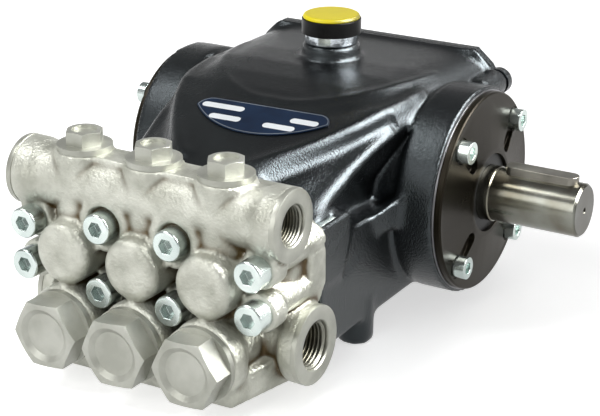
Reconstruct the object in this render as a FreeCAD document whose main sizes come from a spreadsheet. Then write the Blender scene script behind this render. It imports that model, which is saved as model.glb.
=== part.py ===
"""High-pressure plunger pump with three plungers: head, crankcase, covers and drive shaft.

Every piece is drawn about the crank axis: X runs along the crankshaft to the drive end,
Y runs from the head to the rear cover, Z is up. Each piece is then set into the pump's
own frame, whose origin is the middle of the four foot screws on the base plane.
"""
import FreeCAD, Part
import math
import os
import Sketcher

V = FreeCAD.Vector
doc = FreeCAD.newDocument("plunger_pump")

# Driving dimensions in millimetres, with what each one measures.
DRIVING = [
    ("shaft_height", 55.0, "crank axis above the base plane"),
    ("foot_pitch_across", 102.0, "foot screws, side to side"),
    ("foot_pitch_along", 80.0, "foot screws, front to back"),
    ("foot_setback", 62.0, "front foot screws in front of the crank axis"),
    ("foot_radius", 8.0, "radius of a foot boss"),
    ("foot_root", 8.0, "height of a foot boss inside the casting"),
    ("foot_hole_depth", 14.0, "depth of a foot hole"),
    ("joint_setback", 105.0, "crank axis to the joint with the head"),
    ("rear_joint", 48.0, "crank axis to the rear joint"),
    ("deck_top", 50.0, "top deck above the crank axis"),
    ("wall_bottom", 43.1, "bottom of the crankcase below the crank axis"),
    ("wall_half_width", 57.4, "half width over the side walls"),
    ("wall_top", 3.0, "top edge of the side wall"),
    ("wall_rear", 22.0, "rear end of the side wall in front of the crank axis"),
    ("arch_rise", 34.5, "height of the arch between side wall and drum"),
    ("arch_run", 19.0, "length of that arch"),
    ("arch_shape", 1.4, "how steep the arch starts; 1 is straight"),
    ("gusset_root", 55.0, "inner end of the gusset between wall and drum, inside the wall"),
    ("gusset_reach", 64.5, "outer end of that gusset"),
    ("gusset_front", 69.0, "front end of the gusset before the crank axis, at its root"),
    ("gusset_rake", 8.0, "the gusset's front edge leans back by this"),
    ("gusset_back", 40.0, "rear end of the gusset before the crank axis"),
    ("gusset_tip_top", 9.0, "top of the gusset where it meets the drum"),
    ("gusset_top", 12.0, "top of the gusset at its rear end"),
    ("ledge_top", 13.0, "top of the ledge behind the head joint"),
    ("ledge_length", 23.5, "length of that ledge"),
    ("ledge_step", 7.0, "run of the slope at the end of the ledge"),
    ("skirt_proud", 0.8, "the lower part of the side wall stands proud by this"),
    ("skirt_front", 27.6, "top edge of that lower part at the joint, above the bottom"),
    ("skirt_bend", 22.0, "joint to the bend in that edge"),
    ("skirt_bend_run", 17.0, "length of that bend"),
    ("core_half_width", 46.0, "half width of the crankcase at its bottom"),
    ("slope_rise", 0.316, "rise of the sloping front deck for each millimetre"),
    ("slope_start", 24.4, "drop from the top deck to the foot of the slope"),
    ("drum_radius", 47.0, "radius of a bearing drum"),
    ("blind_drum_radius", 45.2, "radius of the drum on the blind side"),
    ("drum_inner", 60.0, "inner end of a drum from the middle plane"),
    ("drum_round", 1.0, "chamfer round the inner end of a drum"),
    ("barrel_radius", 42.0, "radius of the crankcase between wall and drum"),
    ("case_face", 78.2, "machined end of a drum from the middle plane"),
    ("face_chamfer", 0.4, "small chamfer round the machined end"),
    ("rear_flange_thickness", 3.0, "thickness of the rear flange"),
    ("rear_flange_half_width", 66.0, "half width of the rear flange"),
    ("rear_flange_top", 50.9, "top of the rear flange"),
    ("rear_corner", 9.0, "bevel of the rear flange's corners"),
    ("rear_shoulder_x", 61.2, "shoulder of the rear flange, sideways"),
    ("rear_shoulder_z", 43.6, "shoulder of the rear flange, upwards"),
    ("rear_top_half", 53.3, "half width of the rear flange's top edge"),
    ("rear_boss_x", 64.3, "screw bosses of the rear flange, sideways"),
    ("rear_boss_z", 35.9, "screw bosses of the rear flange, up and down"),
    ("rear_boss_radius", 6.2, "radius of those bosses"),
    ("blind_boss_drop", 2.2, "the upper boss on the blind side is lower by this"),
    ("rear_boss_length", 21.0, "length of those bosses"),
    ("rear_cover_thickness", 4.0, "thickness of the rear cover"),
    ("rear_screw_head", 5.2, "radius of a countersunk rear cover screw"),
    ("rear_screw_socket", 1.6, "depth of the socket in such a screw"),
    ("rear_screw_key", 2.0, "half width across flats of that socket"),
    ("rear_cover_inset", 0.6, "the rear cover is lower than its flange by this"),
    ("sight_radius", 10.0, "radius of the oil sight glass in the cover"),
    ("sight_rim", 13.0, "radius of its rim"),
    ("sight_proud", 3.0, "height of its rim on the cover"),
    ("drain_radius", 5.0, "radius of the drain plug's thread"),
    ("drain_head", 8.0, "radius of its head"),
    ("drain_proud", 4.0, "height of its head on the cover"),
    ("drain_height", 11.0, "drain plug above the bottom"),
    ("fitting_depth", 3.0, "depth of the plug and the glass in the cover"),
    ("shim_thickness", 0.8, "shim under a bearing cover"),
    ("shim_proud", 0.6, "the shim stands out round its cover by this"),
    ("shim_inner_radius", 20.0, "inner radius of the shim"),
    ("cover_radius", 45.0, "radius of a bearing cover"),
    ("blind_cover_radius", 42.0, "radius of the cover on the blind side"),
    ("cover_rim", 3.2, "thickness of a cover at its rim"),
    ("cover_rise", 3.0, "rise of the cover from rim to hub"),
    ("cover_rim_width", 3.0, "flat rim of a cover"),
    ("cover_edge", 0.6, "chamfer round a cover"),
    ("hub_radius", 20.4, "outer radius of the hub ring"),
    ("hub_round", 1.2, "chamfer round the hub ring"),
    ("seal_radius", 17.8, "outer radius of the shaft seal"),
    ("seal_depth", 5.4, "depth of the seal's seat in its cover"),
    ("seal_below", 1.6, "the seal lies this far below the hub ring"),
    ("seat_gap", 0.05, "small gap between a pressed piece and its seat"),
    ("cover_screw_circle", 37.8, "radius of the circle of cover screws"),
    ("cover_screw_turn", 45.0, "angle of the first cover screw in degrees"),
    ("cover_screw_sink", 0.5, "depth of a screw's seat below the rim's face"),
    ("pocket_gap", 0.9, "gap round a screw head in its pocket"),
    ("pocket_run", 13.0, "length of a pocket towards the hub"),
    ("pocket_neck", 3.6, "half width of a pocket towards the hub"),
    ("cover_screw_head_radius", 5.0, "head radius of an M6 socket screw"),
    ("cover_screw_head_height", 6.0, "head height of an M6 socket screw"),
    ("blind_screw_head_height", 4.0, "head height of the flatter M6 screws on the blind side"),
    ("cover_screw_radius", 3.0, "shank radius of an M6 screw"),
    ("cover_screw_key", 2.9, "corner radius of the M6 socket"),
    ("cover_screw_socket", 3.0, "depth of the M6 socket"),
    ("shaft_radius", 12.0, "drive end of the crankshaft"),
    ("journal_radius", 12.5, "crankshaft where the seal runs"),
    ("journal_end", 88.5, "end of the seal journal from the middle plane"),
    ("journal_step", 0.5, "length of the step from journal to drive end"),
    ("shaft_end", 129.7, "end of the shaft from the middle plane"),
    ("shaft_chamfer", 1.0, "chamfer at the shaft end"),
    ("centre_radius", 1.5, "radius of the centre hole in the shaft end"),
    ("centre_depth", 3.0, "depth of that hole"),
    ("running_gap", 0.05, "radial gap of the journal in its seal"),
    ("bore_gap", 1.5, "free gap round the shaft inside the crankcase"),
    ("key_width", 8.0, "width of the key"),
    ("key_height", 7.0, "height of the key"),
    ("key_sink", 4.0, "depth of the keyway"),
    ("key_length", 34.0, "length of the key"),
    ("key_end_gap", 3.5, "key end to shaft end"),
    ("plunger_pitch", 34.3, "distance between plunger axes"),
    ("seat_depth", 42.7, "head joint to the seats of the head screws"),
    ("block_depth", 35.5, "head joint to the front of the plain block"),
    ("block_half_width", 51.0, "half width of that block at its front"),
    ("cheek_half_width", 57.5, "half width over the head's plain cheeks"),
    ("cheek_depth", 20.0, "head joint to where the cheeks start to draw in"),
    ("head_flange_thickness", 12.0, "thickness of the head flange"),
    ("head_flange_half_width", 60.6, "half width of the head flange at its widest"),
    ("head_flange_top", 29.0, "top of the head flange"),
    ("head_flange_bottom", 19.0, "bottom of the head flange"),
    ("head_flange_bow", 5.5, "the flange's sides draw in by this at the top"),
    ("column_depth", 32.8, "head joint to the outlet valve axes"),
    ("column_radius", 12.6, "radius of an outlet valve column"),
    ("head_top", 40.4, "machined top of the outlet columns"),
    ("rail_half_width", 7.5, "half width of the flat rail between the columns"),
    ("rail_depth", 12.0, "depth of that rail"),
    ("port_face", 64.8, "port faces from the middle plane"),
    ("port_chamfer", 0.8, "chamfer at the mouth of a port"),
    ("port_depth", 15.0, "depth of a port thread"),
    ("port_edge", 0.6, "chamfer round a port boss"),
    ("outlet_height", 26.4, "outlet gallery above the crank axis"),
    ("outlet_boss_radius", 14.8, "radius of the outlet port boss"),
    ("outlet_boss_length", 9.0, "length of the outlet port boss"),
    ("outlet_neck_length", 5.0, "length of the taper behind that boss"),
    ("outlet_gallery_radius", 13.0, "outer radius of the outlet gallery"),
    ("outlet_thread_radius", 8.3, "radius of the outlet thread, G3/8"),
    ("inlet_depth", 15.0, "head joint to the inlet gallery axis"),
    ("inlet_drop", 31.4, "inlet gallery below the crank axis"),
    ("inlet_boss_radius", 16.8, "radius of the inlet port boss"),
    ("inlet_boss_length", 8.0, "length of the inlet port boss"),
    ("inlet_neck_length", 3.0, "length of the taper behind that boss"),
    ("inlet_gallery_radius", 12.8, "outer radius of the inlet gallery"),
    ("inlet_thread_radius", 10.2, "radius of the inlet thread, G1/2"),
    ("base_drop", 49.0, "underside of the head below the crank axis"),
    ("base_height", 13.0, "height of the side face above that underside"),
    ("base_front_half", 47.5, "half width of the underside at the front"),
    ("base_rear_half", 55.8, "half width of the underside at the joint"),
    ("base_depth", 51.5, "head joint to the front of the underside"),
    ("dome_radius", 13.3, "radius of a plunger dome"),
    ("dome_round", 4.0, "rounding of a dome's rim"),
    ("dome_depth", 52.8, "head joint to the crown of a dome"),
    ("dome_neck_width", 8.0, "width of the web between dome and inlet column"),
    ("dome_neck_depth", 49.0, "head joint to the front of that web"),
    ("inlet_plug_drop", 31.0, "inlet valve axes below the crank axis"),
    ("inlet_seat_depth", 53.0, "head joint to the seats of the inlet plugs"),
    ("inlet_column_radius", 16.9, "radius of an inlet valve column at its seat"),
    ("inlet_column_rim", 8.0, "length of that thick end"),
    ("inlet_column_taper", 6.0, "length of the taper behind it"),
    ("inlet_column_back", 13.4, "radius of an inlet valve column behind the taper"),
    ("inlet_column_edge", 0.8, "chamfer round an inlet valve column"),
    ("inlet_plug_flange_radius", 16.0, "flange radius of an inlet valve plug"),
    ("inlet_plug_flange", 2.5, "flange thickness of an inlet valve plug"),
    ("inlet_hex_corner", 15.6, "corner radius of an inlet plug's hexagon"),
    ("inlet_hex_height", 10.0, "height of an inlet plug's hexagon"),
    ("inlet_hex_chamfer", 0.8, "chamfer on the corners of that hexagon"),
    ("inlet_dish_radius", 11.5, "radius of the dish in an inlet plug"),
    ("inlet_dish_depth", 0.8, "depth of that dish"),
    ("outlet_plug_flange_radius", 11.5, "flange radius of an outlet valve plug"),
    ("outlet_plug_flange", 2.4, "flange thickness of an outlet valve plug"),
    ("outlet_hex_corner", 8.1, "corner radius of an outlet plug's hexagon"),
    ("outlet_hex_height", 5.8, "height of an outlet plug's hexagon"),
    ("outlet_hex_chamfer", 0.6, "chamfer on the corners of that hexagon"),
    ("outlet_dish_radius", 5.2, "radius of the dish in an outlet plug"),
    ("outlet_dish_depth", 1.6, "depth of that dish"),
    ("inner_screw_height", 13.9, "inner head screws above and below the axis"),
    ("outer_screw_height", 9.1, "outer head screws above and below the axis"),
    ("outer_screw_x", 54.7, "outer head screws from the middle plane"),
    ("screw_boss_radius", 8.3, "radius of the outer screw bosses at their seats"),
    ("screw_boss_length", 10.0, "length of that thick end"),
    ("screw_back_radius", 5.9, "radius of the outer screw bosses behind it"),
    ("screw_post_radius", 7.2, "radius of the lower inner screw bosses"),
    ("screw_hood_radius", 11.4, "radius of the hoods round the upper inner screws"),
    ("screw_hood_proud", 3.0, "those hoods stand in front of the screw seats by this"),
    ("screw_well_gap", 1.5, "gap round a screw head in its hood"),
    ("head_screw_radius", 4.0, "shank radius of an M8 screw"),
    ("head_screw_head_radius", 6.5, "head radius of an M8 socket screw"),
    ("head_screw_head_height", 8.0, "head height of an M8 socket screw"),
    ("head_screw_key", 3.4, "corner radius of the M8 socket"),
    ("head_screw_socket", 4.0, "depth of the M8 socket"),
    ("screw_edge", 0.6, "chamfer round a socket screw's head"),
    ("screw_grip", 16.0, "length of a head screw in the crankcase"),
    ("screw_wall", 1.1, "least wall round a head screw in the crankcase"),
    ("tap_radius", 3.4, "core of an M8 thread, the size of its tapping hole"),
    ("screw_gap", 0.3, "gap round a screw shank in its clearance hole"),
    ("neck_radius", 12.3, "radius of the bright filler neck"),
    ("neck_height", 4.3, "height of the bright filler neck"),
    ("filler_boss_radius", 13.5, "radius of the cast boss under the filler neck"),
    ("filler_boss_height", 7.0, "height of that boss above the deck"),
    ("filler_setback", 4.0, "filler neck behind the crank axis"),
    ("cap_radius", 13.7, "radius of the filler cap"),
    ("cap_skirt_height", 7.0, "height of the black skirt"),
    ("cap_top_radius", 13.2, "radius of the yellow top"),
    ("cap_top_height", 1.9, "height of the yellow top above the skirt"),
    ("cap_top_round", 1.3, "rounding of the yellow top's rim"),
    ("plate_length", 65.7, "length of the rating plate"),
    ("plate_width", 21.0, "width of the rating plate"),
    ("plate_end", 6.6, "half height of the plate's pointed ends"),
    ("plate_shift", 2.5, "middle of the plate towards the drive side"),
    ("plate_turn", 1.6, "angle of the plate on its slope in degrees, as it was fitted by hand"),
    ("plate_thickness", 0.5, "thickness of the rating plate"),
    ("plate_gap", 0.2, "glue under the rating plate"),
    ("plate_setback", 55.3, "upper edge of the plate in front of the crank axis"),
]

# Sections of the cast hood, from the head joint to the rear joint. Each row holds the share of the way along,
# then for half of the section the inset from the drum's inner end and the drop below the top deck of
# the crown, the shoulder, the scoop below it, the side rib and the hollow under the rib.
# The crown's drop is None where the crown lies on the sloping front deck.
HOOD = (
    (0.00, (48.0, None), (38.5, 24.6), (26.0, 33.5), (9.0, 35.6), (10.5, 42.0)),
    (0.06, (45.0, None), (34.5, 21.4), (22.5, 31.5), (6.8, 33.4), (10.5, 42.0)),
    (0.14, (39.0, None), (28.0, 17.6), (18.0, 28.6), (6.0, 29.8), (13.0, 41.0)),
    (0.235, (32.0, None), (20.0, 13.2), (13.2, 23.4), (5.4, 25.8), (14.0, 40.0)),
    (0.33, (26.0, None), (12.2, 8.8), (8.7, 18.2), (3.4, 21.2), (14.0, 39.0)),
    (0.42, (20.0, 4.8), (7.2, 5.6), (5.2, 14.4), (1.0, 17.0), (12.5, 37.0)),
    (0.50, (17.0, 2.3), (5.0, 5.6), (2.4, 11.5), (-0.6, 14.0), (10.5, 34.5)),
    (0.60, (15.0, 0.5), (2.6, 5.6), (0.6, 10.0), (-1.6, 12.4), (8.0, 32.0)),
    (0.72, (14.5, 0.0), (2.0, 5.4), (0.0, 9.4), (-2.0, 12.4), (6.5, 32.0)),
    (1.00, (14.5, 0.6), (2.0, 5.4), (0.0, 9.0), (-2.0, 12.4), (6.0, 32.0)),
)

# How far each hexagon is turned on its axis in degrees, as the plugs happened to tighten.
OUTLET_PLUG_TURNS = (0.0, 0.0, 0.0)
INLET_PLUG_TURNS = (3.7, 4.7, 2.6)

sheet = doc.addObject("Spreadsheet::Sheet", "Sizes")
for row, (alias, amount, meaning) in enumerate(DRIVING, start=1):
    sheet.set("A%d" % row, meaning)
    sheet.set("B%d" % row, str(amount))
    sheet.setAlias("B%d" % row, alias)
doc.recompute()


class Size:
    """A length that knows both its number and the sheet formula that gives it."""

    def __init__(self, number, formula):
        self.number = number
        self.formula = formula

    def __add__(self, other):
        other = as_size(other)
        return Size(self.number + other.number, "(%s + %s)" % (self.formula, other.formula))

    def __sub__(self, other):
        other = as_size(other)
        return Size(self.number - other.number, "(%s - %s)" % (self.formula, other.formula))

    def __mul__(self, other):
        other = as_size(other)
        return Size(self.number * other.number, "(%s * %s)" % (self.formula, other.formula))

    def __truediv__(self, other):
        other = as_size(other)
        return Size(self.number / other.number, "(%s / %s)" % (self.formula, other.formula))

    def __neg__(self):
        return Size(-self.number, "(0 - %s)" % self.formula)

    def __radd__(self, other):
        return as_size(other) + self

    def __rsub__(self, other):
        return as_size(other) - self

    def __rmul__(self, other):
        return as_size(other) * self


def as_size(value):
    """A plain number becomes a Size whose formula is that number."""
    if isinstance(value, Size):
        return value
    return Size(float(value), repr(float(value)))


class SheetReader:
    """Gives each driving dimension of the sheet by its alias."""

    def __getattr__(self, alias):
        return Size(float(sheet.get(alias)), "Sizes.%s" % alias)


size = SheetReader()


def bind(thing, prop, value):
    """Set one property of an object by a formula on the sheet."""
    thing.setExpression(prop, as_size(value).formula)


def place(thing, x, y, z):
    """Put an object's origin at a point given by sizes."""
    for prop, value in (("x", x), ("y", y), ("z", z)):
        bind(thing, "Placement.Base.%s" % prop, value)


def box(name, x, y, z):
    """A block between pairs of sizes along X, Y and Z."""
    block = doc.addObject("Part::Box", name)
    bind(block, "Length", x[1] - x[0])
    bind(block, "Width", y[1] - y[0])
    bind(block, "Height", z[1] - z[0])
    place(block, x[0], y[0], z[0])
    return block


TURNS = {
    "x": FreeCAD.Rotation(V(0, 1, 0), 90),
    "y": FreeCAD.Rotation(V(1, 0, 0), -90),
    "z": FreeCAD.Rotation(),
}


def rod(name, axis, radius, along, across, faces=0):
    """A cylinder or prism along one axis, between two sizes, at two sizes across it in X, Y, Z order."""
    if faces:
        cylinder = doc.addObject("Part::Prism", name)
        cylinder.Polygon = faces
        bind(cylinder, "Circumradius", radius)
    else:
        cylinder = doc.addObject("Part::Cylinder", name)
        bind(cylinder, "Radius", radius)
    cylinder.Placement = FreeCAD.Placement(V(), TURNS[axis])
    bind(cylinder, "Height", along[1] - along[0])
    spot = {"x": (along[0], across[0], across[1]),
            "y": (across[0], along[0], across[1]),
            "z": (across[0], across[1], along[0])}[axis]
    place(cylinder, *spot)
    return cylinder


def fuse(name, pieces):
    """One solid made of several that meet."""
    joined = doc.addObject("Part::MultiFuse", name)
    joined.Shapes = pieces
    joined.Refine = True
    return joined


def group(name, pieces):
    """Several like solids that share one node and don't touch."""
    joined = doc.addObject("Part::Compound", name)
    joined.Links = pieces
    return joined


def cut(name, base, tool, refine=True):
    """A solid with another taken away."""
    result = doc.addObject("Part::Cut", name)
    result.Base = base
    result.Tool = tool
    result.Refine = refine
    return result


def new_body(label):
    """An empty PartDesign body."""
    body = doc.addObject("PartDesign::Body", label)
    body.Label = label
    return body


def new_sketch(body, name, role, shift=None):
    """A sketch on one of the body's own origin planes, shifted along its normal."""
    sketch = body.newObject("Sketcher::SketchObject", name)
    plane = [item for item in body.Origin.OriginFeatures if item.Role == role][0]
    sketch.AttachmentSupport = [(plane, "")]
    sketch.MapMode = "FlatFace"
    if shift is not None:
        bind(sketch, "AttachmentOffset.Base.z", shift)
    return sketch


def pin_point(sketch, geometry, end, x, y):
    """Tie one end of an edge to sizes measured from the sketch's origin."""
    for kind, value in (("DistanceX", as_size(x)), ("DistanceY", as_size(y))):
        spot = sketch.addConstraint(
            Sketcher.Constraint(kind, -1, 1, geometry, end, value.number))
        sketch.setExpression("Constraints[%d]" % spot, value.formula)


def outline(sketch, points):
    """A closed outline of straight edges through points given by sizes."""
    corners = [V(as_size(x).number, as_size(y).number, 0) for x, y in points]
    first = sketch.GeometryCount
    count = len(points)
    for index, corner in enumerate(corners):
        sketch.addGeometry(Part.LineSegment(corner, corners[(index + 1) % count]))
    for index, (x, y) in enumerate(points):
        following = first + (index + 1) % count
        sketch.addConstraint(Sketcher.Constraint("Coincident", first + index, 2, following, 1))
        pin_point(sketch, first + index, 1, x, y)


def ring(sketch, radius, x=0, y=0):
    """A circle of a size at a point given by sizes."""
    radius = as_size(radius)
    centre = V(as_size(x).number, as_size(y).number, 0)
    circle = sketch.addGeometry(Part.Circle(centre, V(0, 0, 1), radius.number))
    spot = sketch.addConstraint(Sketcher.Constraint("Radius", circle, radius.number))
    sketch.setExpression("Constraints[%d]" % spot, radius.formula)
    pin_point(sketch, circle, 3, x, y)


def pad(body, name, sketch, length, reverse=False, midplane=False):
    """Material raised from a sketch."""
    feature = body.newObject("PartDesign::Pad", name)
    feature.Profile = sketch
    feature.Midplane = midplane
    feature.Reversed = reverse
    bind(feature, "Length", length)
    body.Tip = feature
    return feature


def pocket(body, name, sketch, depth, reverse=False):
    """Material sunk from a sketch."""
    feature = body.newObject("PartDesign::Pocket", name)
    feature.Profile = sketch
    feature.Reversed = reverse
    bind(feature, "Length", depth)
    body.Tip = feature
    return feature


def turned(body, name, sketch, axis):
    """Material turned through a full circle about an axis of the sketch."""
    feature = body.newObject("PartDesign::Revolution", name)
    feature.Profile = sketch
    feature.ReferenceAxis = (sketch, [axis])
    feature.Angle = 360.0
    body.Tip = feature
    return feature


def hexagon(sketch, corner, turn=0.0, x=0, y=0):
    """A hexagon of a corner radius, turned by an angle in degrees."""
    points = []
    for step in range(6):
        angle = math.radians(60 * step + turn)
        points.append((as_size(x) + as_size(corner) * math.cos(angle),
                       as_size(y) + as_size(corner) * math.sin(angle)))
    outline(sketch, points)


nodes = []


def finish(thing, label):
    """Name a sub-part and move it from the crank axis frame into the pump's frame."""
    thing.Label = label
    turn = thing.Placement.Rotation
    bind(thing, "Placement.Base.y", size.foot_setback - size.foot_pitch_along / 2)
    bind(thing, "Placement.Base.z", size.shaft_height)
    thing.Placement.Rotation = turn
    nodes.append(thing)


def sides():
    """The two ends of the crank axis: the drive end first."""
    return (("drive", 1), ("blind", -1))


def soft_outline(sketch, poles, corners):
    """A closed outline: a soft curve shaped by its poles, then straight edges through the corners."""
    curve = Part.BSplineCurve()
    curve.buildFromPoles([V(x, z, 0) for x, z in poles], False, 3)
    sketch.addGeometry(curve)
    points = [poles[-1]] + corners + [poles[0]]
    for start, stop in zip(points, points[1:]):
        sketch.addGeometry(Part.LineSegment(V(start[0], start[1], 0), V(stop[0], stop[1], 0)))


def groove(body, name, sketch, axis):
    """Material taken away by turning a sketch about an axis."""
    feature = body.newObject("PartDesign::Groove", name)
    feature.Profile = sketch
    feature.ReferenceAxis = (sketch, [axis])
    feature.Angle = 360.0
    body.Tip = feature
    return feature


def turned_solid(label, axis, profile):
    """A solid turned about X, Y or Z, from points given as (place along the axis, radius)."""
    body = new_body(label)
    role = {"x": "XY_Plane", "y": "YZ_Plane", "z": "XZ_Plane"}[axis]
    sketch = new_sketch(body, label + "_profile", role)
    if axis == "z":
        outline(sketch, [(radius, along) for along, radius in profile])
        turned(body, label + "_turned", sketch, "V_Axis")
    else:
        outline(sketch, profile)
        turned(body, label + "_turned", sketch, "H_Axis")
    return body


def rounded(body, name, radius, test):
    """Round the edges of a body's last feature that pass a test."""
    doc.recompute()
    base = body.Tip
    edges = ["Edge%d" % (index + 1) for index, edge in enumerate(base.Shape.Edges) if test(edge)]
    feature = body.newObject("PartDesign::Fillet", name)
    feature.Base = (base, edges)
    bind(feature, "Radius", radius)
    body.Tip = feature
    return feature


def hood():
    """The cast hood, lofted through soft sections with its shoulders, scoops and side ribs."""
    body = new_body("hood")
    length = size.joint_setback + size.rear_joint - size.rear_flange_thickness
    bottom = -size.wall_bottom.number
    core = size.core_half_width.number
    rings = []
    for index, (share, *spots) in enumerate(HOOD):
        along = length * share
        sketch = new_sketch(body, "hood_section_%d" % index, "XZ_Plane", size.joint_setback - along)
        half = []
        for inset, drop in spots:
            if drop is None:
                drop = size.slope_start - along * size.slope_rise
            half.append(((size.drum_inner - inset).number, (size.deck_top - drop).number))
        crown_x, crown_z = half[0]
        crown = [(crown_x * step, crown_z) for step in (-0.5, 0.0, 0.5)]
        poles = [(-x, z) for x, z in reversed(half)] + crown + half
        soft_outline(sketch, poles, [(core, bottom), (-core, bottom)])
        rings.append(sketch)
    loft = body.newObject("PartDesign::AdditiveLoft", "hood_loft")
    loft.Profile = rings[0]
    loft.Sections = rings[1:]
    loft.Ruled = True
    body.Tip = loft
    return body


def arch_points(steps=5):
    """The rear edge of a side wall, from its foot up to the top of the arch, steep at first."""
    points = []
    for step in range(steps):
        share = step / (steps - 1)
        points.append((-size.wall_rear - size.arch_run * share,
                       -size.wall_bottom + size.arch_rise * (1 - (1 - share) ** size.arch_shape.number)))
    return points


def side_walls():
    """The flat side walls with the ledge behind the head joint and the proud lower skirt."""
    front = -size.joint_setback
    bottom = -size.wall_bottom
    body = new_body("side_walls")
    wall = new_sketch(body, "wall_outline", "YZ_Plane")
    ledge_end = front + size.ledge_length
    outline(wall, [(front, bottom)] + arch_points() + [
        (-size.wall_rear - size.arch_run, size.wall_top), (ledge_end + size.ledge_step, size.wall_top),
        (ledge_end, size.ledge_top), (front, size.ledge_top)])
    pad(body, "wall_pad", wall, size.wall_half_width * 2, midplane=True)
    skirt = new_sketch(body, "skirt_outline", "YZ_Plane")
    skirt_top = bottom + size.skirt_front
    outline(skirt, [(front, bottom)] + arch_points() + [
        (front + size.skirt_bend + size.skirt_bend_run, bottom + size.arch_rise),
        (front + size.skirt_bend, skirt_top), (front, skirt_top)])
    pad(body, "skirt_pad", skirt, (size.wall_half_width + size.skirt_proud) * 2, midplane=True)
    lug = new_sketch(body, "lug_outline", "YZ_Plane")
    reach = size.tap_radius + size.screw_wall
    low = -size.outer_screw_height - reach
    outline(lug, [(front, low), (front + size.screw_grip + size.screw_wall, low), (ledge_end, 0),
                  (ledge_end, size.ledge_top), (front, size.ledge_top)])
    pad(body, "lug_pad", lug, (size.outer_screw_x + reach) * 2, midplane=True)
    return body


def gussets():
    """The webs that carry the side walls over into the drums."""
    webs = []
    low = -size.wall_bottom + size.arch_rise
    back = -size.gusset_back
    for side, sign in sides():
        drum = size.drum_radius if sign > 0 else size.blind_drum_radius
        body = new_body("%s_gusset" % side)
        root = new_sketch(body, "%s_gusset_root" % side, "YZ_Plane", sign * size.gusset_root)
        outline(root, [(-size.gusset_front + size.gusset_rake, low), (-size.gusset_front, 0),
                       (back, size.gusset_top / 2), (back, low)])
        tip = new_sketch(body, "%s_gusset_tip" % side, "YZ_Plane", sign * size.gusset_reach)
        outline(tip, [(-drum, low / 2), (-drum, size.gusset_tip_top), (back, size.gusset_top),
                      (back, low / 2)])
        loft = body.newObject("PartDesign::AdditiveLoft", "%s_gusset_loft" % side)
        loft.Profile = root
        loft.Sections = [tip]
        loft.Ruled = True
        body.Tip = loft
        webs.append(body)
    return webs


def bearing_drums():
    """Both bearing drums and the barrel between them, turned in one piece."""
    face = size.case_face
    inner = size.drum_inner
    edge = size.face_chamfer
    profile = []
    for sign, radius in ((-1, size.blind_drum_radius), (1, size.drum_radius)):
        half = [(inner, size.barrel_radius), (inner, radius - size.drum_round),
                (inner + size.drum_round, radius), (face - edge, radius), (face, radius - edge), (face, 0)]
        profile += [(sign * x, r) for x, r in (half if sign > 0 else reversed(half))]
    return turned_solid("bearing_drums", "x", profile)


def rear_flange():
    """The upright flange that the rear cover is screwed to, with bevelled corners."""
    body = new_body("rear_flange")
    sketch = new_sketch(body, "rear_flange_outline", "XZ_Plane", -size.rear_joint)
    half = [(size.rear_flange_half_width - size.rear_corner, -size.wall_bottom),
            (size.rear_flange_half_width, -size.wall_bottom + size.rear_corner),
            (size.rear_flange_half_width, size.rear_boss_z),
            (size.rear_shoulder_x, size.rear_shoulder_z),
            (size.rear_top_half, size.rear_flange_top)]
    outline(sketch, [(-x, z) for x, z in reversed(half)] + half)
    pad(body, "rear_flange_pad", sketch, size.rear_flange_thickness)
    return body


def rear_boss_spots():
    """Name, place across and height of the four screw bosses at the rear cover."""
    spots = []
    for side, sign in sides():
        top = size.rear_boss_z if sign > 0 else size.rear_boss_z - size.blind_boss_drop
        spots.append(("%s_upper" % side, sign * size.rear_boss_x, top))
        spots.append(("%s_lower" % side, sign * size.rear_boss_x, -size.rear_boss_z))
    return spots


def build_crankcase():
    """The cast housing: hood, side walls, drums, rear flange, filler boss and feet."""
    joint = -size.joint_setback
    bottom = -size.wall_bottom
    base = -size.shaft_height
    pieces = [hood(), side_walls(), bearing_drums(), rear_flange()] + gussets()
    pieces.append(rod("filler_boss", "z", size.filler_boss_radius,
                      (size.deck_top - size.foot_root, size.deck_top + size.filler_boss_height),
                      (0, size.filler_setback)))
    for name, x, z in rear_boss_spots():
        pieces.append(rod("%s_rear_boss" % name, "y", size.rear_boss_radius,
                          (size.rear_joint - size.rear_boss_length, size.rear_joint), (x, z)))
    holes = []
    for side, sign in sides():
        for row, back in (("front", -size.foot_setback), ("rear", size.foot_pitch_along - size.foot_setback)):
            spot = (sign * size.foot_pitch_across / 2, back)
            pieces.append(rod("%s_%s_foot" % (side, row), "z", size.foot_radius,
                              (base, bottom + size.foot_root), spot))
            holes.append(rod("%s_%s_foot_hole" % (side, row), "z", size.tap_radius,
                             (base, base + size.foot_hole_depth), spot))
    holes.append(rod("shaft_tunnel", "x", size.journal_radius + size.bore_gap,
                     (-size.drum_inner, size.case_face), (0, 0)))
    for name, x, z, radius in head_screw_spots():
        holes.append(rod("%s_tapping" % name, "y", size.tap_radius,
                         (joint, joint + size.screw_grip), (x, z)))
    crankcase = cut("crankcase_cut", fuse("crankcase_solid", pieces), fuse("crankcase_holes", holes),
                    refine=False)
    finish(crankcase, "crankcase")


def head_screw_spots():
    """Name, place across the head and boss radius of each of the eight head screws."""
    spots = []
    for row, lift in (("upper", 1), ("lower", -1)):
        places = (-size.outer_screw_x, -size.plunger_pitch / 2, size.plunger_pitch / 2, size.outer_screw_x)
        for index, x in enumerate(places):
            outer = index in (0, 3)
            height = size.outer_screw_height if outer else size.inner_screw_height
            radius = size.screw_boss_radius if outer else size.screw_post_radius
            if row == "upper" and not outer:
                radius = size.screw_hood_radius
            spots.append(("head_screw_%s_%d" % (row, index + 1), x, lift * height, radius))
    return spots


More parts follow.
